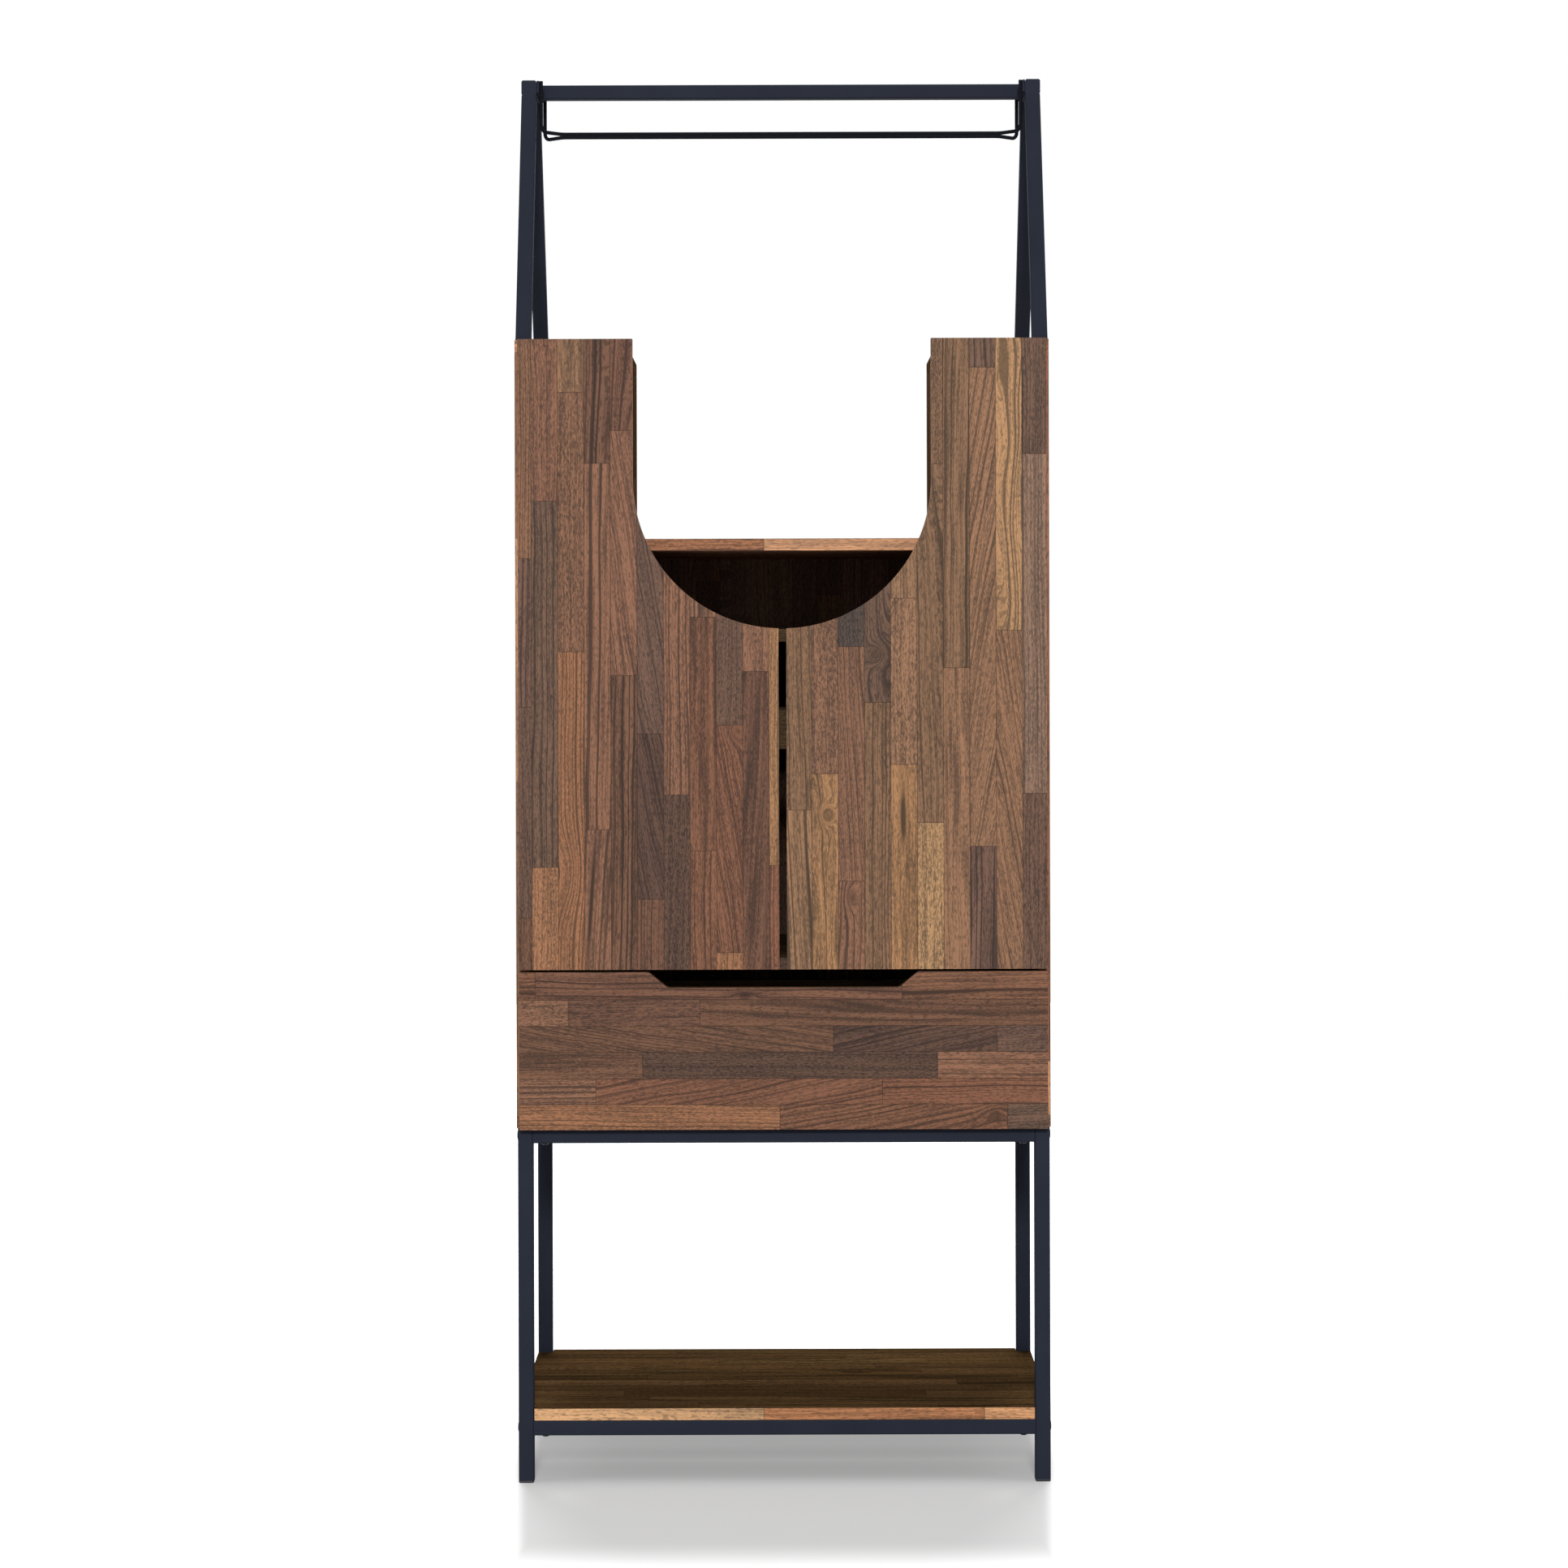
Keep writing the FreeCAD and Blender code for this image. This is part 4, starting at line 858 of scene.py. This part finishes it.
def powder_coat(name, deep, thin):
    """A coat with one colour where it is deep and one where it is thin."""
    material, tree = new_material(name)
    place = add(tree, "ShaderNodeTexCoord").outputs["Object"]
    peel = add(tree, "ShaderNodeTexNoise", {"Vector": place, "Scale": 1 / PEEL, "Detail": 1.0})
    cloud = add(tree, "ShaderNodeTexNoise", {"Vector": place, "Scale": 1 / THIN_PLACES, "Detail": 2.0})
    colour = add(tree, "ShaderNodeMix", [cloud, linear(deep), linear(thin)], data_type="RGBA")
    gloss = add(tree, "ShaderNodeMapRange", {"Value": cloud, "To Min": 0.42, "To Max": 0.54})
    ripple = add(tree, "ShaderNodeBump", {"Height": peel, "Strength": 0.12, "Distance": 0.1 * MM})
    coat = add(tree, "ShaderNodeBsdfPrincipled", {"Base Color": colour, "Roughness": gloss,
                                                  "Normal": ripple, "Specular IOR Level": 0.005})
    add(tree, "ShaderNodeOutputMaterial", [coat])
    return material


slate = powder_coat("slate_powder_coat", "#2a2e39", "#323642")
# The rods' coat is painted nearly black to stand for the shade on their undersides.
rod_coat_painted_shade = powder_coat("rod_powder_coat_painted_shade", "#17191e", "#1e2026")
print("powder coats:", slate.name, rod_coat_painted_shade.name)

# %% Tubes
TUBES = ["front_left_leg", "front_right_leg", "rear_left_leg", "rear_right_leg", "left_side_rails",
         "right_side_rails", "front_top_rail", "rear_top_rail", "front_shelf_rail", "rear_shelf_rail",
         "left_a_frame", "right_a_frame", "top_rail"]
TUBE_EASE = 0.7
tubes = []
for node in TUBES:
    rolled = ease(merged_copy(node), TUBE_EASE, segments=2, smallest=20, largest=60, shortest=12.0)
    tubes.append(finished(node + "_tube", rolled, [slate], "carcass", [node]))
print("tubes:", sum(len(t.data.polygons) for t in tubes), "faces")

# %% [markdown]
# ## Glass rack
# Two rods hang under the top rail and hold stemmed glasses by the foot. Each is one 5 mm wire: down,
# round a tight bend, in towards its partner, along, and back up. A sweep is the natural way to make bent
# wire: a ring of points is carried along the path, and the bends are arcs that touch both runs.

# %% Bent wire
def bent_path(corners, radii, steps=14):
    """Points along straight runs between corners, with an arc of each radius at the corners between."""
    points = [corners[0]]
    for before, corner, after, radius in zip(corners, corners[1:], corners[2:], radii):
        back, ahead = (before - corner).normalized(), (after - corner).normalized()
        half = back.angle(ahead) / 2
        centre = corner + (back + ahead).normalized() * (radius / math.sin(half))
        start = corner + back * (radius / math.tan(half)) - centre
        turn = start.cross(corner + ahead * (radius / math.tan(half)) - centre).normalized()
        points += [centre + Matrix.Rotation((math.pi - 2 * half) * i / steps, 3, turn) @ start
                   for i in range(steps + 1)]
    return points + [corners[-1]]


def join_rings(solid, rings):
    """Skin between rings of vertices, with a cap on the first and the last."""
    count = len(rings[0])
    for one, two in zip(rings, rings[1:]):
        for k in range(count):
            solid.faces.new((one[k], one[(k + 1) % count], two[(k + 1) % count], two[k]))
    solid.faces.new(rings[0][::-1])
    solid.faces.new(rings[-1])


def swept(points, radius, sides=20):
    """Round wire along points."""
    solid, rings, normal = bmesh.new(), [], Vector((0, 1, 0))
    for i, point in enumerate(points):
        ahead = (points[min(i + 1, len(points) - 1)] - points[max(i - 1, 0)]).normalized()
        normal = (normal - ahead * normal.dot(ahead)).normalized()
        across = ahead.cross(normal)
        rings.append([solid.verts.new(point + radius * (math.cos(a) * normal + math.sin(a) * across))
                      for a in (2 * math.pi * k / sides for k in range(sides))])
    join_rings(solid, rings)
    bmesh.ops.recalc_face_normals(solid, faces=solid.faces)
    return solid


def box_mm(node):
    """Lowest and highest corner of a CAD node, in mm, rounded to a micrometre."""
    return [[round(v / MM, 3) for v in corner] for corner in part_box(node)]


print("rack plates:", box_mm("rack_plates"))

# %% Rack rods
# The rods hang inside the plates, 74 mm apart, and run in to a slot for the stems.
ROD_RADIUS, PLATE_THICK, PLATE_EASE = 2.5, 3.5, 0.4
HALF_HANGERS, HALF_SLOT, FLARE, DROP = 37, 14, 26, 68
BENDS = (9, 15, 15, 9)
rack_low, rack_high = box_mm("rack_plates")
rack_middle = (rack_low[Y] + rack_high[Y]) / 2
hanger = rack_high[X] - PLATE_THICK - ROD_RADIUS
run_end = hanger - FLARE
rod_top, rod_low = rack_high[Z], rack_high[Z] - DROP
rods = []
for node, way in (("front_rack_rod", -1), ("rear_rack_rod", 1)):
    hang, run = rack_middle + way * HALF_HANGERS, rack_middle + way * HALF_SLOT
    corners = [Vector([v * MM for v in corner]) for corner in (
        (-hanger, hang, rod_top), (-hanger, hang, rod_low), (-run_end, run, rod_low),
        (run_end, run, rod_low), (hanger, hang, rod_low), (hanger, hang, rod_top))]
    wire = swept(bent_path(corners, [v * MM for v in BENDS]), ROD_RADIUS * MM)
    rods.append(finished(node + "_wire", wire, [rod_coat_painted_shade], "carcass", [node],
                         smooth=40))
plates = finished("rack_plates_steel", ease(merged_copy("rack_plates"), PLATE_EASE), [slate], "carcass",
                  ["rack_plates"])
print("rack rods:", [len(r.data.polygons) for r in rods], "faces, plates:", len(plates.data.polygons))

# %% [markdown]
# ## Plastics, zinc and nylon
# Small parts tell good furniture from a mock-up. Their materials are simple, but each has the surface
# that its making leaves: moulding ripple on plastic, the bloom of zinc plating, the soft glow of nylon.

# %% Small-part materials
CLOUD_OF_GRIT = 8  # clouds of tone are so many times as wide as the grit


def plain_finish(name, dark, pale, grit_mm, rough, metallic=0.0, specular=0.5, relief=0.1, **more):
    """A finish with a cloudy tone between two colours, a matching gloss and a fine relief."""
    material, tree = new_material(name)
    place = add(tree, "ShaderNodeTexCoord").outputs["Object"]
    grit_scale = 1 / (grit_mm * MM)
    cloud_scale = 1 / (CLOUD_OF_GRIT * grit_mm * MM)
    cloud = add(tree, "ShaderNodeTexNoise", {"Vector": place, "Scale": cloud_scale, "Detail": 3.0})
    grit = add(tree, "ShaderNodeTexNoise", {"Vector": place, "Scale": grit_scale, "Detail": 2.0})
    colour = add(tree, "ShaderNodeMix", [cloud, linear(dark), linear(pale)], data_type="RGBA")
    gloss = add(tree, "ShaderNodeMapRange", {"Value": cloud, "To Min": rough[0], "To Max": rough[1]})
    bump = add(tree, "ShaderNodeBump", {"Height": grit, "Strength": relief, "Distance": 0.1 * MM})
    shader = add(tree, "ShaderNodeBsdfPrincipled", {"Base Color": colour, "Roughness": gloss,
                                                    "Normal": bump, "Metallic": metallic,
                                                    "Specular IOR Level": specular, **more})
    add(tree, "ShaderNodeOutputMaterial", [shader])
    return material


# Moulded plastic: black, half matt, with a fine grain from the mould.
plastic = plain_finish("black_polypropylene", "#141414", "#1d1d1f", grit_mm=0.8, rough=(0.45, 0.6))
# Blackened zinc: nearly black with a dull gleam of metal.
black_zinc = plain_finish("black_zinc_screws", "#101114", "#1c1e22", grit_mm=0.5, rough=(0.35, 0.5),
                          metallic=0.6)
# Bright zinc plating: pale grey metal with a cloudy bloom.
zinc = plain_finish("bright_zinc_plate", "#a9adb3", "#c9ccd0", grit_mm=0.6, rough=(0.24, 0.4),
                    metallic=1.0)
# Baked enamel: ivory with a smooth shine.
enamel = plain_finish("ivory_runner_enamel", "#d8d3c6", "#e4e0d5", grit_mm=1.2, rough=(0.3, 0.4))
# Moulded nylon: milky white with a soft shine.
nylon = plain_finish("moulded_white_nylon", "#dcdad2", "#eceae4", grit_mm=0.8, rough=(0.35, 0.5),
                     relief=0.05)
# Cast polyurethane: clear, smooth drops.
clear = plain_finish("clear_polyurethane_pads", "#dfe3e2", "#f2f4f3", grit_mm=0.8, rough=(0.1, 0.2),
                     relief=0.03, **{"Transmission Weight": 0.85, "IOR": 1.48})
print("small-part finishes:", [m.name for m in (plastic, black_zinc, zinc, enamel, nylon, clear)])

# %% [markdown]
# ## Turned parts and screws
# Screw heads, cams, rollers and pads are turned or moulded round. A stack of rings makes them: a ring may
# be a circle, a hexagon for a socket or a cross for a driver. Their places come from the solids of the
# CAD nodes.

# %% Rings and places
def turned(rings, steps=32):
    """Closed solid through a stack of rings, each a radius or a function of the angle, at a height, in mm."""
    solid, loops = bmesh.new(), []
    angles = [2 * math.pi * k / steps for k in range(steps)]
    for shape, height in rings:
        reach = [(shape(a) if callable(shape) else shape, a) for a in angles]
        loops.append([solid.verts.new((r * math.cos(a) * MM, r * math.sin(a) * MM, height * MM))
                      for r, a in reach])
    join_rings(solid, loops)
    return solid


def hexagon(flat):
    """Outline of a hexagon, given its width across flats."""
    return lambda a: flat / 2 / math.cos((a + math.pi / 6) % (math.pi / 3) - math.pi / 6)


def cross(length, width):
    """Outline of a cross, given the length and the width of its bars."""
    def reach(a):
        large, small = sorted((abs(math.cos(a)), abs(math.sin(a))), reverse=True)
        return min(length / 2 / large, width / 2 / max(small, 1e-6))
    return reach


def places(node):
    """Lowest and highest corner of each separate solid of a CAD node, in order of place."""
    solid = merged_copy(node)
    left, found = set(solid.verts), []
    while left:
        group, edge = set(), [left.pop()]
        while edge:
            v = edge.pop()
            group.add(v)
            near = {e.other_vert(v) for e in v.link_edges} & left
            left -= near
            edge += near
        found.append([Vector([pick(v.co[a] for v in group) for a in range(3)]) for pick in (min, max)])
    solid.free()
    return sorted(found, key=lambda corners: [round(v / MM, 3) for v in corners[0]])


print("frame bolts:", len(places("frame_bolts")), "cams:", len(places("cam_locks")))

# %% [markdown]
# ## Setting fasteners with Geometry Nodes
# Dozens of equal screws are what Geometry Nodes is for: one screw, a cloud of points with a direction
# each, and a tree that puts a copy on every point, lines it up and gives it a turn, because nobody stops
# all screws at the same angle. The result becomes a plain mesh, one for each body.

# %% Fastener tree
setter = bpy.data.node_groups.new("set_fasteners", "GeometryNodeTree")
for name, kind in (("Geometry", "Geometry"), ("Fastener", "Object"), ("Size", "Float"),
                   ("Most turn", "Float"), ("Seed", "Int"), ("Finish", "Material")):
    setter.interface.new_socket(name, in_out="INPUT", socket_type="NodeSocket" + kind)
setter.interface.new_socket("Geometry", in_out="OUTPUT", socket_type="NodeSocketGeometry")
given = add(setter, "NodeGroupInput").outputs
outward = add(setter, "GeometryNodeInputNamedAttribute", ["outward"], data_type="FLOAT_VECTOR")
facing = add(setter, "FunctionNodeAlignRotationToVector", {"Vector": outward}, axis="Z")
angle = add(setter, "FunctionNodeRandomValue", [0.0, given["Most turn"], None, given["Seed"]],
            data_type="FLOAT")
twist = add(setter, "FunctionNodeAxisAngleToRotation", [(0, 0, 1), angle])
facing = add(setter, "FunctionNodeRotateRotation", [facing, twist], rotation_space="LOCAL")
shape = add(setter, "GeometryNodeObjectInfo", [given["Fastener"]]).outputs["Geometry"]
copies = add(setter, "GeometryNodeInstanceOnPoints", {"Points": given["Geometry"], "Instance": shape,
                                                      "Rotation": facing, "Scale": given["Size"]})
real = add(setter, "GeometryNodeRealizeInstances", [copies])
painted = add(setter, "GeometryNodeSetMaterial", {"Geometry": real, "Material": given["Finish"]})
add(setter, "NodeGroupOutput", [painted])
print(setter.name, "has", len(setter.nodes), "nodes")

# %% Setting fasteners
def set_fasteners(name, solid, spots, finish, body, slot, stands_for=(), size=1.0, turn=2 * math.pi, seed=1):
    """Copies a turned solid to every (point, outward direction) of spots."""
    pattern_mesh = bpy.data.meshes.new(name + "_pattern")
    solid.to_mesh(pattern_mesh)
    solid.free()
    pattern = bpy.data.objects.new(name + "_pattern", pattern_mesh)
    cloud_mesh = bpy.data.meshes.new(name + "_cloud")
    cloud_mesh.from_pydata([spot for spot, _ in spots], [], [])
    outward = cloud_mesh.attributes.new("outward", "FLOAT_VECTOR", "POINT")
    for value, (_, out) in zip(outward.data, spots):
        value.vector = out
    cloud = bpy.data.objects.new(name + "_cloud", cloud_mesh)
    bpy.context.scene.collection.objects.link(cloud)
    nodes = cloud.modifiers.new("set_fasteners", "NODES")
    nodes.node_group = setter
    values = {"Fastener": pattern, "Size": size, "Most turn": turn, "Seed": seed, "Finish": finish}
    for socket in setter.interface.items_tree:
        if socket.in_out == "INPUT" and socket.name in values:
            nodes[socket.identifier] = values[socket.name]
    made = bpy.data.meshes.new_from_object(cloud.evaluated_get(bpy.context.evaluated_depsgraph_get()))
    for used in (cloud, pattern):
        bpy.data.objects.remove(used)
    result = bmesh.new()
    result.from_mesh(made)
    return finished(name, result, [finish], body, list(stands_for), smooth=35)


plated = {"finish": zinc, "slot": "zinc_hardware"}
blackened = {"finish": black_zinc, "slot": "black_screws"}
print("fasteners are set in", plated["slot"], "and", blackened["slot"])

# %% Screws and bolts
# Rings are given as (radius or outline, height), from the tip to the bottom of the recess.
def bolt(grip):
    """Low round head with a hexagon socket, as on furniture connector bolts."""
    return turned([(2.6, -grip), (3.0, -grip + 0.6), (3.0, 0), (6.0, 0), (6.0, 0.45), (5.5, 0.9), (4.6, 1.15),
                   (hexagon(4.0), 1.2), (hexagon(4.0), -1.6)], steps=36)


def pan_screw(grip, head, height):
    """Rounded head with a cross recess."""
    return turned([(0.4, -grip), (1.8, -grip + 3), (1.8, 0), (head, 0), (head, 0.45 * height),
                   (0.9 * head, 0.75 * height), (0.72 * head, 0.93 * height),
                   (cross(1.1 * head, 0.3 * head), height),
                   (cross(0.7 * head, 0.16 * head), 0.1 * height)], steps=40)


def on_side(node, axis, seat):
    """Places of the solids of a node, seated at a distance from the middle along an axis."""
    spots = []
    for low, high in places(node):
        point = (low + high) / 2
        out = Vector([math.copysign(1.0, point[axis]) if a == axis else 0.0 for a in range(3)])
        point[axis] = out[axis] * seat * MM
        spots.append((point, out))
    return spots


def seated(node, height, out):
    """Places of the solids of a node whose heads, of that height in mm, stand down or up from a face."""
    spots = []
    for low, high in places(node):
        z = low.z + height * MM if out < 0 else high.z - height * MM
        spots.append((Vector(((low.x + high.x) / 2, (low.y + high.y) / 2, z)), Vector((0, 0, out))))
    return spots


LEG_FACE = box_mm("front_right_leg")[1][X]
RAIL_HEAD, FOOT_HEAD = 2.6, 2.2
screws = []
for node, solid, seats, seed in (
        ("frame_bolts", bolt(27), on_side("frame_bolts", X, LEG_FACE), 2),
        ("top_rail_bolts", bolt(30), on_side("top_rail_bolts", X, LEG_FACE), 3),
        ("rail_screws", pan_screw(29, 4.8, RAIL_HEAD), seated("rail_screws", RAIL_HEAD, -1), 4),
        ("foot_bar_screws", pan_screw(15, 3.9, FOOT_HEAD), seated("foot_bar_screws", FOOT_HEAD, 1), 5)):
    screws.append(set_fasteners(node[:-1] + "_heads", solid, seats, body="carcass", stands_for=[node],
                                seed=seed, **blackened))
print("screws:", {s.name: len(s.data.polygons) for s in screws})

# %% Cams, pads and rollers
cam = turned([(7.3, -12), (7.3, -0.5), (6.9, 0), (cross(9.0, 2.6), 0), (cross(7.4, 1.6), -3.2)], steps=40)
pad = turned([(4.0, 0), (4.0, 0.5), (3.8, 1.1), (3.3, 1.75), (2.5, 2.3), (1.4, 2.6), (0.3, 2.7)], steps=28)
roller = turned([(3.4, -3.0), (5.6, -3.0), (5.9, -2.6), (7.6, -2.6), (8.0, -2.2), (8.0, 2.2), (7.6, 2.6),
                 (5.9, 2.6), (5.6, 3.0), (3.4, 3.0), (3.4, 2.2), (2.2, 2.2)], steps=48)
pad_spots = [(Vector(((low.x + high.x) / 2, high.y, (low.z + high.z) / 2)), Vector((0, -1, 0)))
             for low, high in places("stop_pads")]
rounds = [
    set_fasteners("cam_discs", cam, seated("cam_locks", 0, -1), body="carcass", stands_for=["cam_locks"],
                  turn=0.6, seed=6, **plated),
    set_fasteners("stop_pad_domes", pad, pad_spots, clear, "carcass", "clear_pads", ["stop_pads"], seed=7),
]
for node in ("cabinet_rollers", "drawer_rollers"):
    axles = [((low + high) / 2, Vector((1, 0, 0))) for low, high in places(node)]
    rounds.append(set_fasteners(node + "_nylon", roller.copy(), axles, nylon, node, "white_nylon", [node],
                                turn=0.0))
roller.free()
print("round parts:", [r.name for r in rounds])

# %% [markdown]
# ## Hinges, catches, runners and feet
# These keep their CAD shape. A fine bevel gives pressed steel its soft edge, and screws are set where the
# real ones sit.

# %% Hardware
HARDWARE = [
    (zinc, "zinc_hardware", [
        ("left_hinge_cups", "left_door_leaf"), ("right_hinge_cups", "right_door_leaf"),
        ("left_hinge_pins", "left_door_leaf"), ("right_hinge_pins", "right_door_leaf"),
        ("hinge_arms", "carcass"), ("hinge_plates", "carcass"),
        ("left_strike_plate", "left_door_leaf"), ("right_strike_plate", "right_door_leaf")]),
    (plastic, "black_plastic", [("magnet_catches", "carcass"), ("foot_caps", "carcass")]),
    (enamel, "runner_enamel", [("cabinet_runners", "carcass"), ("drawer_runners", "drawer")]),
]
HARDWARE_EASE = 0.25
hardware = []
for finish, slot, parts in HARDWARE:
    for node, body in parts:
        soft = ease(merged_copy(node), HARDWARE_EASE, segments=2, smallest=40, shortest=1.5)
        hardware.append(finished(node + "_part", soft, [finish], body, [node], smooth=30))
# The dowels of the cams keep their CAD solids and only get the finish.
for material_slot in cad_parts["cam_dowels"].material_slots:
    material_slot.material = zinc
print("hardware:", len(hardware))

# %% [markdown]
# ## The small screws
# A hinge plate is held by two screws in its wings, a hinge cup by two in its flange, and the arm carries
# the two screws that adjust the door. Runners are screwed to the panel and to the drawer, catches to the
# deck, and the backs are nailed all round. All of them go through the same fastener tree, at their own
# size. Their places are worked out from the boxes of the pieces that they hold.

# %% Places of the small screws
BACK, UP = Vector((0, 1, 0)), Vector((0, 0, 1))
SIDES = (-1, 1)


def mirrored(x, y, z, way):
    """A spot on both sides of the cabinet: way 1 faces the other side, way -1 faces outward."""
    return [(Vector((side * x, y, z)) * MM, Vector((-side * way, 0, 0))) for side in SIDES]


WING, WING_REACH = 3.2, 11
plate_low, plate_high = box_mm("hinge_plates")
panel = plate_high[X]
hinge_rows = sorted(round((low.z + high.z) / 2 / MM, 3) for low, high in places("left_hinge_cups"))
plate_spots = [spot for row in hinge_rows for dz in (-WING_REACH, WING_REACH)
               for spot in mirrored(panel - WING, (plate_low[Y] + plate_high[Y]) / 2, row + dz, 1)]
ADJUSTERS = (10.5, 32.5)  # from the rear end of the arm
arm_end = box_mm("hinge_arms")[1][Y]
arm_face = round(min(low.x for low, _ in places("hinge_arms") if low.x > 0) / MM, 3)
adjusters = [spot for row in hinge_rows for from_end in ADJUSTERS
             for spot in mirrored(arm_face, arm_end - from_end, row, 1)]
TRACK_SHEET, TRACK_HEIGHT, TRACK_YS = 1.2, 511, (-120, 0, 120)
track_spots = [spot for y in TRACK_YS for spot in mirrored(panel - TRACK_SHEET, y, TRACK_HEIGHT, 1)]
DRAWER_FACE, DRAWER_HEIGHT, DRAWER_YS = 322.7, 507, (-110, 10, 130)
drawer_spots = [spot for y in DRAWER_YS for spot in mirrored(DRAWER_FACE, y, DRAWER_HEIGHT, -1)]
catch_low, catch_high = box_mm("magnet_catches")
CATCH_XS, CATCH_Y = (13, 45), -172.0
catch_spots = [(Vector((side * x, CATCH_Y, catch_high[Z])) * MM, UP) for side in SIDES for x in CATCH_XS]
print("hinges at", hinge_rows, "mm, with", len(plate_spots), "plate screws and", len(adjusters), "adjusters")

# %% Screws of the hinges, runners and catches
CUP_X, CUP_REACH = 316.5, 23
screw = pan_screw(9, 3.2, 1.5)
flush = turned([(0.5, -9), (1.5, -3), (1.5, -1.6), (3.2, 0), (3.2, 0.08), (cross(3.6, 1.0), 0.1),
                (cross(2.2, 0.5), -1.2)], steps=40)
small_screws = [
    set_fasteners("hinge_plate_screws", screw.copy(), plate_spots, body="carcass", seed=21, **plated),
    set_fasteners("hinge_adjusters", screw.copy(), adjusters, body="carcass", size=0.85, seed=22, **plated),
    set_fasteners("track_screws", screw.copy(), track_spots, body="carcass", size=0.9, seed=23, **plated),
    set_fasteners("drawer_track_screws", screw.copy(), drawer_spots, body="drawer", size=0.8, seed=24,
                  **plated),
    set_fasteners("catch_screws", screw.copy(), catch_spots, body="carcass", size=0.8, seed=25, **blackened),
]
for number, (side, way) in enumerate(zip(("left", "right"), SIDES)):
    body = side + "_door_leaf"
    door_back = box_mm(side + "_hinge_cups")[1][Y]
    cup_spots = [(Vector((way * CUP_X, door_back, row + dz)) * MM, BACK)
                 for row in hinge_rows for dz in (-CUP_REACH, CUP_REACH)]
    small_screws.append(set_fasteners(body + "_cup_screws", screw.copy(), cup_spots, body=body, size=0.9,
                                      seed=26 + number, **plated))
    low, high = box_mm(side + "_strike_plate")
    strike_spot = Vector(((low[X] + high[X]) / 2, high[Y], (low[Z] + high[Z]) / 2)) * MM
    small_screws.append(set_fasteners(body + "_strike_screw", flush.copy(), [(strike_spot, BACK)],
                                      body=body, seed=28 + number, **plated))
screw.free()
flush.free()
print("small screws:", {s.name: len(s.data.polygons) for s in small_screws})

# %% Nails of the backs
# The large back is nailed along its edges and to two shelves, the two small ones along their edges.
nail = turned([(0.7, -8), (0.8, -7), (0.8, 0), (1.9, 0), (1.85, 0.2), (1.3, 0.36), (0.3, 0.42)], steps=20)
EDGE_X, TOWER_X, APART = 342, 214, 76
BACK_ROWS, SIDE_ROWS = (473, 680, 1110, 1223), range(525, 1200, 75)
TOWER_ENDS, TOWER_ROWS = (1236, 1490), (1300, 1364, 1428)
nail_places = {(x, z) for x in range(-EDGE_X, EDGE_X + 1, APART) for z in BACK_ROWS}
for side in SIDES:
    nail_places |= {(side * EDGE_X, z) for z in SIDE_ROWS}
    nail_places |= {(side * x, z) for x in (TOWER_X, (TOWER_X + EDGE_X) // 2, EDGE_X) for z in TOWER_ENDS}
    nail_places |= {(side * x, z) for x in (TOWER_X, EDGE_X) for z in TOWER_ROWS}
back_face = box_mm("back_panel")[1][Y]
nail_spots = [(Vector((x, back_face, z)) * MM, BACK) for x, z in sorted(nail_places)]
nails = set_fasteners("back_nails", nail, nail_spots, body="carcass", seed=31, **plated)
print("nails:", len(nail_places), "with", len(nails.data.polygons), "faces")

# %% Poles of the catches
# A magnet catch pulls with two steel strips that just stand out of its plastic body.
POLE, POLE_APART, POLE_OUT, POLE_EASE = (33.0, 6.0, 1.5), 2.6, 0.15, 0.2
catch_x = (box_mm("right_strike_plate")[0][X] + box_mm("right_strike_plate")[1][X]) / 2
catch_z = (catch_low[Z] + catch_high[Z]) / 2
poles = bmesh.new()
for side in SIDES:
    for z in (catch_z - POLE_APART, catch_z + POLE_APART):
        corner = (side * catch_x - POLE[X] / 2, catch_low[Y] - POLE_OUT, z - POLE[Z] / 2)
        for v in bmesh.ops.create_cube(poles, size=1.0)["verts"]:
            v.co = Vector([(corner[a] + (v.co[a] + 0.5) * POLE[a]) * MM for a in range(3)])
ease(poles, POLE_EASE, segments=2, smallest=40, shortest=0.5)
catch_poles = finished("catch_poles", poles, [zinc], "carcass", [], smooth=30)
print("catch poles:", len(catch_poles.data.polygons), "faces")
